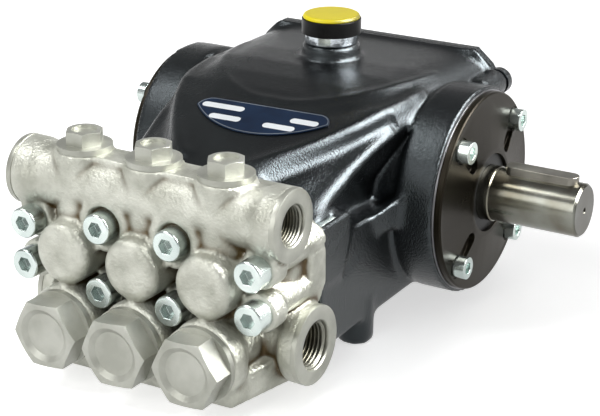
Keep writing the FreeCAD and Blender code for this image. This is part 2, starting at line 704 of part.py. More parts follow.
def gallery(kind, depth, z):
    """A gallery right across the head, with a tapered neck and a port boss at each end."""
    face = size.port_face
    boss = getattr(size, "%s_boss_radius" % kind)
    inner = face - getattr(size, "%s_boss_length" % kind)
    neck = inner - getattr(size, "%s_neck_length" % kind)
    radius = getattr(size, "%s_gallery_radius" % kind)
    half = [(neck, radius), (inner, boss), (face - size.port_edge, boss),
            (face, boss - size.port_edge), (face, 0)]
    body = turned_solid("%s_gallery" % kind, "x", [(-x, r) for x, r in reversed(half)] + half)
    place(body, 0, -size.joint_setback - depth, z)
    return body


def port_bore(side, sign, kind, depth, z):
    """The threaded bore of a port, with a chamfer at its mouth."""
    face = size.port_face
    inner = face - size.port_depth
    radius = getattr(size, "%s_thread_radius" % kind)
    mouth = radius + size.port_chamfer
    profile = [(inner, 0), (inner, radius), (face - size.port_chamfer, radius), (face, mouth), (face, 0)]
    body = turned_solid("%s_%s_port" % (side, kind), "x", [(sign * x, r) for x, r in profile])
    place(body, 0, -size.joint_setback - depth, z)
    return body


def head_flange():
    """The rear flange of the head, with bowed sides."""
    body = new_body("head_flange")
    sketch = new_sketch(body, "head_flange_outline", "XZ_Plane",
                        size.joint_setback + size.head_flange_thickness)
    wide = size.head_flange_half_width
    top = size.head_flange_top
    low = -size.head_flange_bottom
    half = [(wide - size.head_flange_bow / 2, low), (wide, low / 2), (wide, size.outer_screw_height / 2),
            (wide - size.head_flange_bow / 2, size.ledge_top),
            (wide - size.head_flange_bow * 1.5, size.ledge_top + size.head_flange_bow),
            (wide - size.head_flange_bow * 2, top)]
    outline(sketch, [(-x, z) for x, z in reversed(half)] + half)
    pad(body, "head_flange_pad", sketch, size.head_flange_thickness, reverse=True)
    return body


def head_cheeks():
    """The plain cheeks at the sides of the head, drawn in towards the front of the block."""
    body = new_body("head_cheeks")
    sketch = new_sketch(body, "head_cheeks_outline", "XY_Plane", -size.head_flange_bottom)
    joint = -size.joint_setback
    half = [(size.block_half_width, joint - size.block_depth),
            (size.cheek_half_width, joint - size.cheek_depth), (size.cheek_half_width, joint)]
    outline(sketch, half + [(-x, y) for x, y in reversed(half)])
    pad(body, "head_cheeks_pad", sketch, size.head_flange_bottom + size.ledge_top)
    return body


def head_base():
    """The tapering base under the inlet gallery."""
    body = new_body("head_base")
    sketch = new_sketch(body, "head_base_outline", "XY_Plane", -size.base_drop)
    front = -size.joint_setback - size.base_depth
    middle = -size.joint_setback - size.head_flange_thickness
    half = [(size.base_front_half, front), (size.base_rear_half, middle),
            (size.base_rear_half, -size.joint_setback)]
    outline(sketch, half + [(-x, y) for x, y in reversed(half)])
    pad(body, "head_base_pad", sketch, size.base_height)
    return body


def dome(index, x):
    """A plunger dome with a rounded rim."""
    joint = -size.joint_setback
    body = turned_solid("dome_%d" % index, "y", [
        (joint, 0), (joint, size.dome_radius), (joint - size.dome_depth, size.dome_radius),
        (joint - size.dome_depth, 0)])
    crown = (joint - size.dome_depth).number
    rounded(body, "dome_rim_%d" % index, size.dome_round,
            lambda edge: abs(edge.BoundBox.YMin - crown) < 0.01 and abs(edge.BoundBox.YMax - crown) < 0.01)
    place(body, x, 0, 0)
    return body


def inlet_column(index, x):
    """The column that an inlet valve plug closes, thick at its seat."""
    front = -size.joint_setback - size.inlet_seat_depth
    back = -size.joint_setback - size.inlet_depth
    radius = size.inlet_column_radius
    edge = size.inlet_column_edge
    shoulder = front + size.inlet_column_rim
    body = turned_solid("inlet_column_%d" % index, "y", [
        (front, 0), (front, radius - edge), (front + edge, radius), (shoulder, radius),
        (shoulder + size.inlet_column_taper, size.inlet_column_back), (back, size.inlet_column_back),
        (back, 0)])
    place(body, x, 0, -size.inlet_plug_drop)
    return body


def build_head():
    """The cast head: flange, galleries, valve columns, plunger domes and screw bosses."""
    joint = -size.joint_setback
    seat = joint - size.seat_depth
    column_y = joint - size.column_depth
    pieces = [
        head_flange(), head_cheeks(), head_base(),
        gallery("outlet", size.column_depth, size.outlet_height),
        gallery("inlet", size.inlet_depth, -size.inlet_drop),
        box("head_block", (-size.block_half_width, size.block_half_width), (joint - size.block_depth, joint),
            (0, size.outlet_height)),
        box("head_rail", (-size.plunger_pitch, size.plunger_pitch),
            (column_y - size.rail_half_width, column_y + size.rail_half_width),
            (size.head_top - size.rail_depth, size.head_top)),
    ]
    holes = [box("behind_joint", (-size.port_face, size.port_face), (joint, joint + size.inlet_boss_radius),
                 (-size.base_drop, size.head_top))]
    for index in (-1, 0, 1):
        x = index * size.plunger_pitch
        number = index + 2
        pieces.append(dome(number, x))
        pieces.append(rod("column_%d" % number, "z", size.column_radius, (0, size.head_top), (x, column_y)))
        pieces.append(inlet_column(number, x))
        pieces.append(box("dome_neck_%d" % number,
                          (x - size.dome_neck_width / 2, x + size.dome_neck_width / 2),
                          (joint - size.dome_neck_depth, joint), (-size.inlet_plug_drop, 0)))
    for name, x, z, radius in head_screw_spots():
        hooded = radius.formula == size.screw_hood_radius.formula
        front = seat - size.screw_hood_proud if hooded else seat
        back = seat + size.screw_boss_length if name[-1] in "14" else joint
        pieces.append(rod("%s_boss" % name, "y", radius, (front, back), (x, z)))
        pieces.append(rod("%s_stem" % name, "y", size.screw_back_radius, (seat, joint), (x, z)))
        holes.append(rod("%s_well" % name, "y", size.head_screw_head_radius + size.screw_well_gap,
                         (joint - size.inlet_seat_depth - size.screw_well_gap, seat), (x, z)))
        holes.append(rod("%s_clearance" % name, "y", size.head_screw_radius + size.screw_gap,
                         (seat, joint), (x, z)))
    for side, sign in sides():
        holes.append(port_bore(side, sign, "outlet", size.column_depth, size.outlet_height))
        holes.append(port_bore(side, sign, "inlet", size.inlet_depth, -size.inlet_drop))
    head = cut("head_cut", fuse("head_solid", pieces), fuse("head_holes", holes))
    finish(head, "pump_head")


def socket_screw(label, head_radius, head_height, shank_radius, shank_length, core_radius, core_length, key,
                 socket):
    """A socket head screw along its own Z: seat at z = 0, head above, the thread as its core below."""
    body = new_body(label)
    sketch = new_sketch(body, label + "_profile", "XZ_Plane")
    edge = size.screw_edge
    end = -shank_length - core_length
    outline(sketch, [(0, end), (core_radius, end), (core_radius, -shank_length), (shank_radius, -shank_length),
                     (shank_radius, 0), (head_radius, 0),
                     (head_radius, head_height - edge), (head_radius - edge, head_height), (0, head_height)])
    turned(body, label + "_turned", sketch, "V_Axis")
    hexed = new_sketch(body, label + "_socket", "XY_Plane", head_height)
    hexagon(hexed, key)
    pocket(body, label + "_socket_cut", hexed, socket)
    return body


def set_in_pump(body, turn, x, y, z):
    """Turn a finished body and set it at a point given about the crank axis."""
    body.Placement = FreeCAD.Placement(V(), turn)
    place(body, x, y + size.foot_setback - size.foot_pitch_along / 2, z + size.shaft_height)
    nodes.append(body)


def build_head_screws():
    """Eight M8 socket screws that hold the head on the crankcase."""
    for name, x, z, radius in head_screw_spots():
        screw = socket_screw(name, size.head_screw_head_radius, size.head_screw_head_height,
                             size.head_screw_radius, size.seat_depth, size.tap_radius, size.screw_grip,
                             size.head_screw_key, size.head_screw_socket)
        set_in_pump(screw, FreeCAD.Rotation(V(1, 0, 0), 90), x, -size.joint_setback - size.seat_depth, z)


def valve_plug(label, kind, turn):
    """A hexagon plug with a round flange, a bevelled hexagon and a dished face, along its own Z."""
    flange = getattr(size, "%s_plug_flange" % kind)
    corner = getattr(size, "%s_hex_corner" % kind)
    top = flange + getattr(size, "%s_hex_height" % kind)
    body = new_body(label)
    base = new_sketch(body, label + "_flange", "XY_Plane")
    ring(base, getattr(size, "%s_plug_flange_radius" % kind))
    pad(body, label + "_flange_pad", base, flange)
    hexed = new_sketch(body, label + "_hex", "XY_Plane")
    hexagon(hexed, corner, turn)
    pad(body, label + "_hex_pad", hexed, top)
    bevel = new_sketch(body, label + "_bevel", "XZ_Plane")
    drop = getattr(size, "%s_hex_chamfer" % kind)
    flat = corner * math.cos(math.radians(30))
    outline(bevel, [(flat, top), (corner * 2 - flat, top), (corner * 2 - flat, top - drop * 2)])
    groove(body, label + "_bevel_cut", bevel, "V_Axis")
    dished = new_sketch(body, label + "_dish", "XY_Plane", top)
    ring(dished, getattr(size, "%s_dish_radius" % kind))
    pocket(body, label + "_dish_cut", dished, getattr(size, "%s_dish_depth" % kind))
    return body


def build_valve_plugs():
    """Three outlet plugs on top of the head and three inlet plugs in its front."""
    joint = -size.joint_setback
    for index in (-1, 0, 1):
        x = index * size.plunger_pitch
        upper = valve_plug("outlet_valve_plug_%d" % (index + 2), "outlet", OUTLET_PLUG_TURNS[index + 1])
        set_in_pump(upper, FreeCAD.Rotation(), x, joint - size.column_depth, size.head_top)
        lower = valve_plug("inlet_valve_plug_%d" % (index + 2), "inlet", INLET_PLUG_TURNS[index + 1])
        set_in_pump(lower, FreeCAD.Rotation(V(1, 0, 0), 90), x, joint - size.inlet_seat_depth,
                    -size.inlet_plug_drop)


def between(sign, near, far):
    """A stretch along X from near to far, on the drive side or mirrored to the blind side."""
    return (near, far) if sign > 0 else (-far, -near)


def cover_screw(label, sign, seat, start, y, z):
    """An M6 socket screw that points along X, with its head outside."""
    top = seat + (size.cover_screw_head_height if sign > 0 else size.blind_screw_head_height)
    floor = top - size.cover_screw_socket
    solid = fuse(label + "_solid", [
        rod(label + "_head", "x", size.cover_screw_head_radius, between(sign, seat, top), (y, z)),
        rod(label + "_shank", "x", size.cover_screw_radius, between(sign, start, floor), (y, z))])
    socket = doc.addObject("Part::Prism", label + "_socket")
    socket.Polygon = 6
    bind(socket, "Circumradius", size.cover_screw_key)
    bind(socket, "Height", size.cover_screw_socket)
    socket.Placement = FreeCAD.Placement(V(), TURNS["x"])
    place(socket, between(sign, floor, top)[0], y, z)
    return cut(label, solid, socket)


def build_bearing_covers():
    """The two bearing covers with their shims, pocketed screws and the shaft seal."""
    face = size.case_face
    seat = face + size.shim_thickness
    rim = seat + size.cover_rim
    hub = rim + size.cover_rise
    bore = size.journal_radius + size.bore_gap
    edge = size.cover_edge
    screw_seat = rim - size.cover_screw_sink
    for side, sign in sides():
        name = "shaft" if sign > 0 else "blind"
        radius = size.cover_radius if sign > 0 else size.blind_cover_radius
        if sign > 0:
            inside = [(seat, bore), (hub - size.seal_depth, bore), (hub - size.seal_depth, size.seal_radius),
                      (hub, size.seal_radius)]
        else:
            inside = [(seat, 0), (hub, 0)]
        outside = [(hub, size.hub_radius - size.hub_round), (hub - size.hub_round / 2, size.hub_radius),
                   (rim, radius - size.cover_rim_width), (rim, radius - edge),
                   (rim - edge, radius), (seat, radius)]
        profile = [(sign * x, r) for x, r in inside + outside]
        cover = turned_solid(name + "_cover_blank", "x", profile)
        shim = turned_solid(name + "_cover_shim", "x", [
            (sign * face, size.shim_inner_radius), (sign * seat, size.shim_inner_radius),
            (sign * seat, radius + size.shim_proud), (sign * face, radius + size.shim_proud)])
        screws = []
        pockets = []
        bolt_holes = []
        for step in range(4):
            angle = size.cover_screw_turn.number + 90 * step
            y = size.cover_screw_circle * math.cos(math.radians(angle))
            z = size.cover_screw_circle * math.sin(math.radians(angle))
            label = "%s_cover_screw_%d" % (name, step + 1)
            screws.append(cover_screw(label, sign, screw_seat, face, y, z))
            pockets += screw_pocket(label, sign, screw_seat, hub, angle)
            bolt_holes.append(rod(label + "_clearance", "x", size.cover_screw_radius,
                                  between(sign, face, hub), (y, z)))
        cutter = fuse(name + "_cover_cutter", pockets + bolt_holes)
        finish(cut(name + "_cover_cut", cover, cutter), name + "_bearing_cover")
        finish(cut(name + "_shim_cut", shim, fuse(name + "_shim_cutter", bolt_holes)),
               name + "_cover_shim_ring")
        finish(group(name + "_screw_set", screws), name + "_cover_screws")
    seal_start = hub - size.seal_depth + size.seat_gap
    seal_stop = hub - size.seal_below
    seal = turned_solid("shaft_seal_ring", "x", [
        (seal_start, size.journal_radius + size.running_gap), (seal_stop, size.journal_radius + size.running_gap),
        (seal_stop, size.seal_radius), (seal_start, size.seal_radius)])
    finish(seal, "shaft_seal")


def screw_pocket(label, sign, floor, hub, angle):
    """The pocket round a cover screw, which runs on towards the hub and ends round."""
    radius = size.cover_screw_head_radius + size.pocket_gap
    neck = size.pocket_neck
    far = size.cover_screw_circle
    near = far - size.pocket_run
    along = between(sign, floor, hub)
    pieces = []
    for name, reach, width in (("outer", far, radius), ("inner", near, neck)):
        y = reach * math.cos(math.radians(angle))
        z = reach * math.sin(math.radians(angle))
        pieces.append(rod("%s_%s_pocket" % (label, name), "x", width, along, (y, z)))
    channel = doc.addObject("Part::Box", label + "_channel")
    bind(channel, "Length", along[1] - along[0])
    bind(channel, "Width", size.pocket_run)
    bind(channel, "Height", neck * 2)
    channel.Placement = FreeCAD.Placement(V(), FreeCAD.Rotation(V(1, 0, 0), angle))
    y = near * math.cos(math.radians(angle)) + neck * math.sin(math.radians(angle))
    z = near * math.sin(math.radians(angle)) - neck * math.cos(math.radians(angle))
    place(channel, along[0], y, z)
    pieces.append(channel)
    return pieces


def build_crankshaft():
    """The crankshaft with its seal journal, drive end, keyway and centre hole, and the key."""
    journal = size.journal_radius
    end = size.shaft_end
    shaft = turned_solid("crankshaft", "x", [
        (-size.drum_inner + size.bore_gap, 0), (-size.drum_inner + size.bore_gap, journal),
        (size.journal_end, journal), (size.journal_end + size.journal_step, size.shaft_radius),
        (end - size.shaft_chamfer, size.shaft_radius), (end, size.shaft_radius - size.shaft_chamfer),
        (end, size.centre_radius), (end - size.centre_depth, 0)])
    slot = new_sketch(shaft, "keyway_outline", "XY_Plane", size.shaft_radius)
    key_start = end - size.key_end_gap - size.key_length
    key_stop = end - size.key_end_gap
    slot_shape(slot, key_start, key_stop, size.key_width)
    pocket(shaft, "keyway", slot, size.key_sink)
    finish(shaft, "crankshaft")
    key = new_body("shaft_key")
    top = new_sketch(key, "key_outline", "XY_Plane", size.shaft_radius - size.key_sink)
    slot_shape(top, key_start, key_stop, size.key_width)
    pad(key, "key_pad", top, size.key_height)
    finish(key, "shaft_key")


def slot_shape(sketch, start, stop, width):
    """A slot with round ends along the sketch's x direction."""
    start = as_size(start)
    stop = as_size(stop)
    half = as_size(width) / 2
    a = (start + half).number
    b = (stop - half).number
    r = half.number
    top = sketch.addGeometry(Part.LineSegment(V(a, r, 0), V(b, r, 0)))
    right = sketch.addGeometry(
        Part.ArcOfCircle(Part.Circle(V(b, 0, 0), V(0, 0, 1), r), -math.pi / 2, math.pi / 2))
    bottom = sketch.addGeometry(Part.LineSegment(V(b, -r, 0), V(a, -r, 0)))
    left = sketch.addGeometry(
        Part.ArcOfCircle(Part.Circle(V(a, 0, 0), V(0, 0, 1), r), math.pi / 2, 3 * math.pi / 2))
    sketch.addConstraint(Sketcher.Constraint("Tangent", top, 2, right, 2))
    sketch.addConstraint(Sketcher.Constraint("Tangent", bottom, 1, right, 1))
    sketch.addConstraint(Sketcher.Constraint("Tangent", bottom, 2, left, 2))
    sketch.addConstraint(Sketcher.Constraint("Tangent", top, 1, left, 1))
    pin_point(sketch, right, 3, stop - half, 0)
    pin_point(sketch, left, 3, start + half, 0)
    spot = sketch.addConstraint(Sketcher.Constraint("Radius", right, r))
    sketch.setExpression("Constraints[%d]" % spot, half.formula)


def build_filler():
    """The bright filler neck on its cast boss, and the two-colour cap."""
    seat = size.deck_top + size.filler_boss_height
    neck_top = seat + size.neck_height
    skirt_top = neck_top + size.cap_skirt_height
    top = skirt_top + size.cap_top_height
    radius = size.cap_top_radius
    neck = turned_solid("filler_neck_turned", "z", [
        (seat, 0), (seat, size.neck_radius), (neck_top, size.neck_radius), (neck_top, 0)])
    skirt = turned_solid("filler_skirt_turned", "z", [
        (neck_top, 0), (neck_top, size.cap_radius), (skirt_top, size.cap_radius), (skirt_top, 0)])
    cap = turned_solid("filler_top_turned", "z", [
        (skirt_top, 0), (skirt_top, radius), (top - size.cap_top_round, radius),
        (top - size.cap_top_round / 3, radius - size.cap_top_round / 3), (top, radius - size.cap_top_round),
        (top, 0)])
    for piece, label in ((neck, "filler_neck"), (skirt, "filler_cap_skirt"), (cap, "filler_cap_top")):
        set_in_pump(piece, FreeCAD.Rotation(), 0, size.filler_setback, 0)
        piece.Label = label


def countersunk(label, start, face, x, z):
    """The form of a countersunk screw along y, its head flush with a face."""
    radius = size.cover_screw_radius
    screw = turned_solid(label, "y", [
        (start, 0), (start, radius), (face - size.rear_screw_head + radius, radius),
        (face, size.rear_screw_head), (face, 0)])
    place(screw, x, 0, z)
    return screw


def build_rear_cover():
    """The rear cover with its screws, oil sight glass and drain plug."""
    y0 = size.rear_joint
    y1 = y0 + size.rear_cover_thickness
    inset = size.rear_cover_inset
    body = new_body("rear_plate")
    sketch = new_sketch(body, "rear_plate_outline", "XZ_Plane", -y1)
    wide = size.rear_flange_half_width - inset
    half = [(wide - size.rear_corner, -size.wall_bottom + inset),
            (wide, -size.wall_bottom + inset + size.rear_corner),
            (wide, size.rear_boss_z), (size.rear_shoulder_x - inset, size.rear_shoulder_z),
            (size.rear_top_half - inset, size.rear_flange_top - inset)]
    outline(sketch, [(-x, z) for x, z in reversed(half)] + half)
    pad(body, "rear_plate_pad", sketch, size.rear_cover_thickness)
    pieces = [body]
    holes = []
    screws = []
    for name, x, z in rear_boss_spots():
        pieces.append(rod("%s_cover_boss" % name, "y", size.rear_boss_radius, (y0, y1), (x, z)))
        holes.append(countersunk("%s_cover_sink" % name, y0, y1, x, z))
        socket = rod("%s_rear_socket" % name, "y", size.rear_screw_key / math.cos(math.pi / 6),
                     (y1 - size.rear_screw_socket, y1), (x, z), faces=6)
        screws.append(cut("rear_screw_%s" % name, countersunk("%s_rear_screw" % name, y0, y1, x, z), socket))
    floor = y1 - size.fitting_depth
    sight = (0, 0)
    drain = (0, -size.wall_bottom + size.drain_height)
    holes.append(rod("sight_bore", "y", size.sight_radius, (floor, y1), sight))
    holes.append(rod("drain_bore", "y", size.drain_radius, (floor, y1), drain))
    finish(cut("rear_cover_cut", fuse("rear_cover_solid", pieces), fuse("rear_cover_holes", holes)), "rear_cover")
    finish(group("rear_screw_set", screws), "rear_cover_screws")
    for label, rim, radius, proud, spot in (
            ("oil_sight_glass", size.sight_rim, size.sight_radius, size.sight_proud, sight),
            ("oil_drain_plug", size.drain_head, size.drain_radius, size.drain_proud, drain)):
        fitting = fuse(label + "_solid", [
            rod(label + "_rim", "y", rim, (y1, y1 + proud), spot),
            rod(label + "_body", "y", radius - size.seat_gap, (floor, y1 + proud), spot)])
        finish(fitting, label)


def build_plate():
    """The blank rating plate on the sloping front deck, with pointed ends and a bowed lower edge."""
    body = new_body("rating_plate")
    sketch = new_sketch(body, "plate_outline", "XY_Plane")
    half = size.plate_length / 2
    tip = size.plate_end
    start = V(-half.number, -tip.number, 0)
    stop = V(half.number, -tip.number, 0)
    low = V(0, -size.plate_width.number, 0)
    shoulder = half - tip
    left = V(-shoulder.number, 0, 0)
    right = V(shoulder.number, 0, 0)
    bend = tip.number * math.cos(math.radians(45))
    sketch.addGeometry(Part.Arc(start, low, stop))
    sketch.addGeometry(Part.Arc(stop, V(shoulder.number + bend, bend - tip.number, 0), right))
    sketch.addGeometry(Part.LineSegment(right, left))
    sketch.addGeometry(Part.Arc(left, V(-shoulder.number - bend, bend - tip.number, 0), start))
    pad(body, "plate_pad", sketch, size.plate_thickness)
    slope = math.degrees(math.atan(size.slope_rise.number))
    drop = size.slope_start - (size.joint_setback - size.plate_setback) * size.slope_rise
    turn = FreeCAD.Rotation(V(1, 0, 0), slope) * FreeCAD.Rotation(V(0, 0, 1), size.plate_turn.number)
    set_in_pump(body, turn, size.plate_shift, -size.plate_setback, size.deck_top - drop + size.plate_gap)


build_crankcase()
build_head()
build_head_screws()
build_valve_plugs()
build_bearing_covers()
build_crankshaft()
build_filler()
build_rear_cover()
build_plate()
doc.recompute()

broken = [item.Name for item in doc.Objects if {"Invalid", "Error"} & set(item.State)]
if broken:
    raise RuntimeError("objects that failed: %s" % ", ".join(broken))
for node in nodes:
    if node.Shape.isNull() or not node.Shape.isValid():
        raise RuntimeError("%s has no valid shape" % node.Label)

os.makedirs("parts", exist_ok=True)
for node in nodes:
    node.Shape.exportStep("parts/%s.step" % node.Label)
    print("%-24s %9.1f mm3 %3d solids" % (node.Label, node.Shape.Volume, len(node.Shape.Solids)))
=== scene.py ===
# %% [markdown]
# # A high-pressure plunger pump
#
# The pump has a nickel-plated brass head in front, a black cast crankcase behind it and a keyed
# drive shaft on one side. The imported CAD model is the frame of this lesson: every length and place
# in it is already right, and what it lacks is how the pieces look. Castings get the soft corners
# that a mould leaves, machined pieces get small edge breaks that catch the light, the ports get
# real threads, and each finish gets its own material.
#
# ## Loading the frame
#
# Each piece could also be modelled again from nothing, but then every length would have to be
# right twice.

# %% Load the frame
import math

import bmesh
import bpy
import numpy as np
from mathutils import Matrix, Vector


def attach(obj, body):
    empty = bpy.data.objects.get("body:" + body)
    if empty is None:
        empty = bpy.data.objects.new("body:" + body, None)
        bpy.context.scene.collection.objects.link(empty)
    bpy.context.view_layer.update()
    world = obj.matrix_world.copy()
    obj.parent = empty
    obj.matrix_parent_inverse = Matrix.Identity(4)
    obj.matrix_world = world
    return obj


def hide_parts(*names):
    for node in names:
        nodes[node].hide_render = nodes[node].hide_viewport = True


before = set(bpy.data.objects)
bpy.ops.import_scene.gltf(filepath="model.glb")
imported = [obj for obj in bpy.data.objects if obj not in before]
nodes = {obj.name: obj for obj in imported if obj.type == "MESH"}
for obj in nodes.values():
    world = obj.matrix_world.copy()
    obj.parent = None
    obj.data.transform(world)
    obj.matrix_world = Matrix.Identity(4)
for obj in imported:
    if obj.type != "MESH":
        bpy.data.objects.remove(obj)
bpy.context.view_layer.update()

# %% [markdown]
# ## From the drawing to the frame
#
# A drawing of a pump measures from the crank axis, in millimetres, because the bearings, the
# plungers and the head are all placed from it. The frame measures in metres from the feet. Two
# distances lead from one to the other. Keeping them in one place means that every later number
# can be compared with the drawing as it stands.

# %% Drawing and frame
MM = 0.001
SHAFT_HEIGHT = 55.0
CRANK_BACK = 22.0


def in_frame(x, y, z):
    """Places about the crank axis in mm as metres in the frame: add the axis's place, then scale."""
    return np.stack(np.broadcast_arrays(x, y + CRANK_BACK, z + SHAFT_HEIGHT), axis=-1) * MM


def in_drawing(points):
    """The other way round: divide by the scale, then take the axis's place away."""
    return points / MM - (0.0, CRANK_BACK, SHAFT_HEIGHT)


print("crank axis at", in_frame(0.0, 0.0, 0.0))

# %% [markdown]
# ## Camera
#
# The photo shows the pump from the front right and a little above, through a long lens. Such a
# camera could be set by eye, but a degree of error shows as soon as the render lies over the
# photo. So its place, aim and lens come from a fit to round features of known size, such as the
# shaft end, the bearing cover and the ports.

# %% Camera
CAMERA_AT = Vector((0.37126, -0.62750, 0.31827))
CAMERA_AIM = Vector((-0.00637, 0.00873, 0.03367))
CAMERA_ROLL = math.radians(0.13)
SENSOR_WIDTH = 36.0
LENS = 100.77
NEAREST = 0.05

camera = bpy.data.objects.new("photo_camera", bpy.data.cameras.new("photo_camera"))
bpy.context.collection.objects.link(camera)
camera.data.sensor_width = SENSOR_WIDTH
camera.data.lens = LENS
camera.data.clip_start = NEAREST
camera.location = CAMERA_AT
aim = (CAMERA_AIM - CAMERA_AT).to_track_quat("-Z", "Y")
camera.rotation_euler = (aim.to_matrix() @ Matrix.Rotation(CAMERA_ROLL, 3, "Z")).to_euler()
bpy.context.scene.camera = camera
bpy.context.scene.view_settings.view_transform = "Standard"
print("camera", round((CAMERA_AIM - CAMERA_AT).length, 3), "m away, lens", LENS, "mm")

# %% [markdown]
# ## Lamps
#
# A studio lights metal with a few large soft boxes. Two of them light everything here: one high on
# the left, and one in front that fills the head's faces. Two more lie along the ridges and the
# rear edges, where the black coat mirrors them as long glints. If these lit the dull finishes too,
# the yellow cap and the pale nickel would burn out, so only shiny rays see them. With that, the
# level stays plain, and a colour renders about as it is written.


# %% Lamps
def lamp(name, at, aim_at, width, height, watts, glints_only=False):
    """A soft rectangular lamp that points at a place; one for glints lights nothing dull."""
    light = bpy.data.lights.new(name, "AREA")
    light.shape = "RECTANGLE"
    light.size = width
    light.size_y = height
    light.energy = watts
    thing = bpy.data.objects.new(name, light)
    bpy.context.collection.objects.link(thing)
    thing.location = at
    thing.rotation_euler = (Vector(aim_at) - Vector(at)).to_track_quat("-Z", "Y").to_euler()
    thing.visible_diffuse = not glints_only
    print(name, watts, "W, for glints only" if glints_only else "W")
    return thing


lamp("key_lamp", (-0.66, -0.50, 1.18), (0.0, -0.03, 0.04), 0.5, 0.5, 9.0)
lamp("front_lamp", (-0.25, -1.15, 0.55), (0.0, -0.12, 0.06), 0.7, 0.7, 5.5)
lamp("ridge_lamp", (0.88, 0.22, 0.90), (0.04, -0.03, 0.08), 0.9, 1.1, 95.0, glints_only=True)
lamp("back_lamp", (0.42, 0.66, 0.92), (0.0, 0.0, 0.05), 0.7, 0.2, 8.0, glints_only=True)

# %% [markdown]
# ## Room light and sweep
#
# Product photos are taken on a sweep: a pale sheet that is the floor and runs up behind the
# object, below a darker ceiling. White metal needs that sheet to mirror, and a black casting needs
# the dark above it, or its top would turn grey. A modelled sheet and ceiling could do this, but
# they would show in views from other sides. So the world does it: what the camera and the shiny
# finishes see is a ramp over the height that a ray looks up to, and what lights the dull finishes
# is an even, weak room light. Light Path tells the two kinds of ray apart.


# %% Helpers for the studio's shaders
def lit(tree, kind, strength):
    """A white background or emission."""
    node = tree.nodes.new(kind)
    node.inputs["Color"].default_value = (1.0, 1.0, 1.0, 1.0)
    node.inputs["Strength"].default_value = strength
    return node


def largest(tree, *values):
    """The largest of some values."""
    result = values[0]
    for value in values[1:]:
        node = tree.nodes.new("ShaderNodeMath")
        node.operation = "MAXIMUM"
        tree.links.new(result, node.inputs[0])
        tree.links.new(value, node.inputs[1])
        result = node.outputs[0]
    return result


def seen_rays(tree):
    """1 for rays that look at the background: from the camera, a mirror or through glass."""
    path = tree.nodes.new("ShaderNodeLightPath")
    seen = largest(tree, path.outputs["Is Camera Ray"], path.outputs["Is Glossy Ray"],
                   path.outputs["Is Transmission Ray"])
    return path, seen


def crossed(tree, share, first, second):
    """A mix of two shaders: the first where share is 0, the second where it is 1."""
    node = tree.nodes.new("ShaderNodeMixShader")
    tree.links.new(share, node.inputs[0])
    tree.links.new(first, node.inputs[1])
    tree.links.new(second, node.inputs[2])
    return node.outputs[0]


def emptied(owner):
    """The node tree of a world or material, with nothing in it yet."""
    owner.use_nodes = True
    owner.node_tree.nodes.clear()
    return owner.node_tree


# %% World
# Each stop is the sine of the angle that a ray looks up at, and the brightness there.
SWEEP = ((0.0, 1.0), (0.12, 1.0), (0.24, 0.38), (0.45, 0.26), (0.8, 0.22), (1.0, 0.16))
ROOM_LEVEL = 0.42

world = bpy.data.worlds.new("studio")
bpy.context.scene.world = world
tree = emptied(world)
path, seen = seen_rays(tree)
facing = tree.nodes.new("ShaderNodeTexCoord")
height = tree.nodes.new("ShaderNodeSeparateXYZ")
tree.links.new(facing.outputs["Generated"], height.inputs[0])
ramp = tree.nodes.new("ShaderNodeValToRGB")
while len(ramp.color_ramp.elements) < len(SWEEP):
    ramp.color_ramp.elements.new(0.5)
for stop, (at, level) in zip(ramp.color_ramp.elements, SWEEP):
    stop.position = at
    stop.color = (level, level, level, 1.0)
tree.links.new(height.outputs["Z"], ramp.inputs["Fac"])
room = lit(tree, "ShaderNodeBackground", ROOM_LEVEL)
sweep = lit(tree, "ShaderNodeBackground", 1.0)
shown = largest(tree, ramp.outputs["Color"], path.outputs["Is Camera Ray"])
tree.links.new(shown, sweep.inputs["Strength"])
out = tree.nodes.new("ShaderNodeOutputWorld")
tree.links.new(crossed(tree, seen, room.outputs[0], sweep.outputs[0]), out.inputs[0])
print("sweep of", len(SWEEP), "stops, room light", ROOM_LEVEL)

# %% [markdown]
# ## Floor
#
# The pump stands on white paper, which keeps a soft shadow. A paper that is bright enough to look
# white would throw its light back up at the black coat and make it grey. So the same trick is
# used: the camera and the shiny finishes see a white sheet that glows a little, and the dull
# finishes get what a much darker sheet throws back.

# %% Floor
FLOOR_REACH = 30.0
FLOOR_PAINT = 0.85
FLOOR_GLOW = 0.6
FLOOR_DIM = 0.18


def dull(tree, level):
    """A grey diffuse shader."""
    node = tree.nodes.new("ShaderNodeBsdfDiffuse")
    node.inputs["Color"].default_value = (level, level, level, 1.0)
    return node


floor_mesh = bpy.data.meshes.new("studio_floor")
corners = [(x * FLOOR_REACH, y * FLOOR_REACH, 0.0) for x, y in ((-1, -1), (1, -1), (1, 1), (-1, 1))]
floor_mesh.from_pydata(corners, [], [(0, 1, 2, 3)])
floor = bpy.data.objects.new("studio_floor", floor_mesh)
bpy.context.collection.objects.link(floor)

floor_paint = bpy.data.materials.new("floor_paint")
tree = emptied(floor_paint)
path, seen = seen_rays(tree)
sheet = tree.nodes.new("ShaderNodeAddShader")
tree.links.new(dull(tree, FLOOR_PAINT).outputs[0], sheet.inputs[0])
tree.links.new(lit(tree, "ShaderNodeEmission", FLOOR_GLOW).outputs[0], sheet.inputs[1])
out = tree.nodes.new("ShaderNodeOutputMaterial")
mixed = crossed(tree, seen, dull(tree, FLOOR_DIM).outputs[0], sheet.outputs[0])
tree.links.new(mixed, out.inputs[0])
floor_mesh.materials.append(floor_paint)
print("floor", 2 * FLOOR_REACH, "m wide")
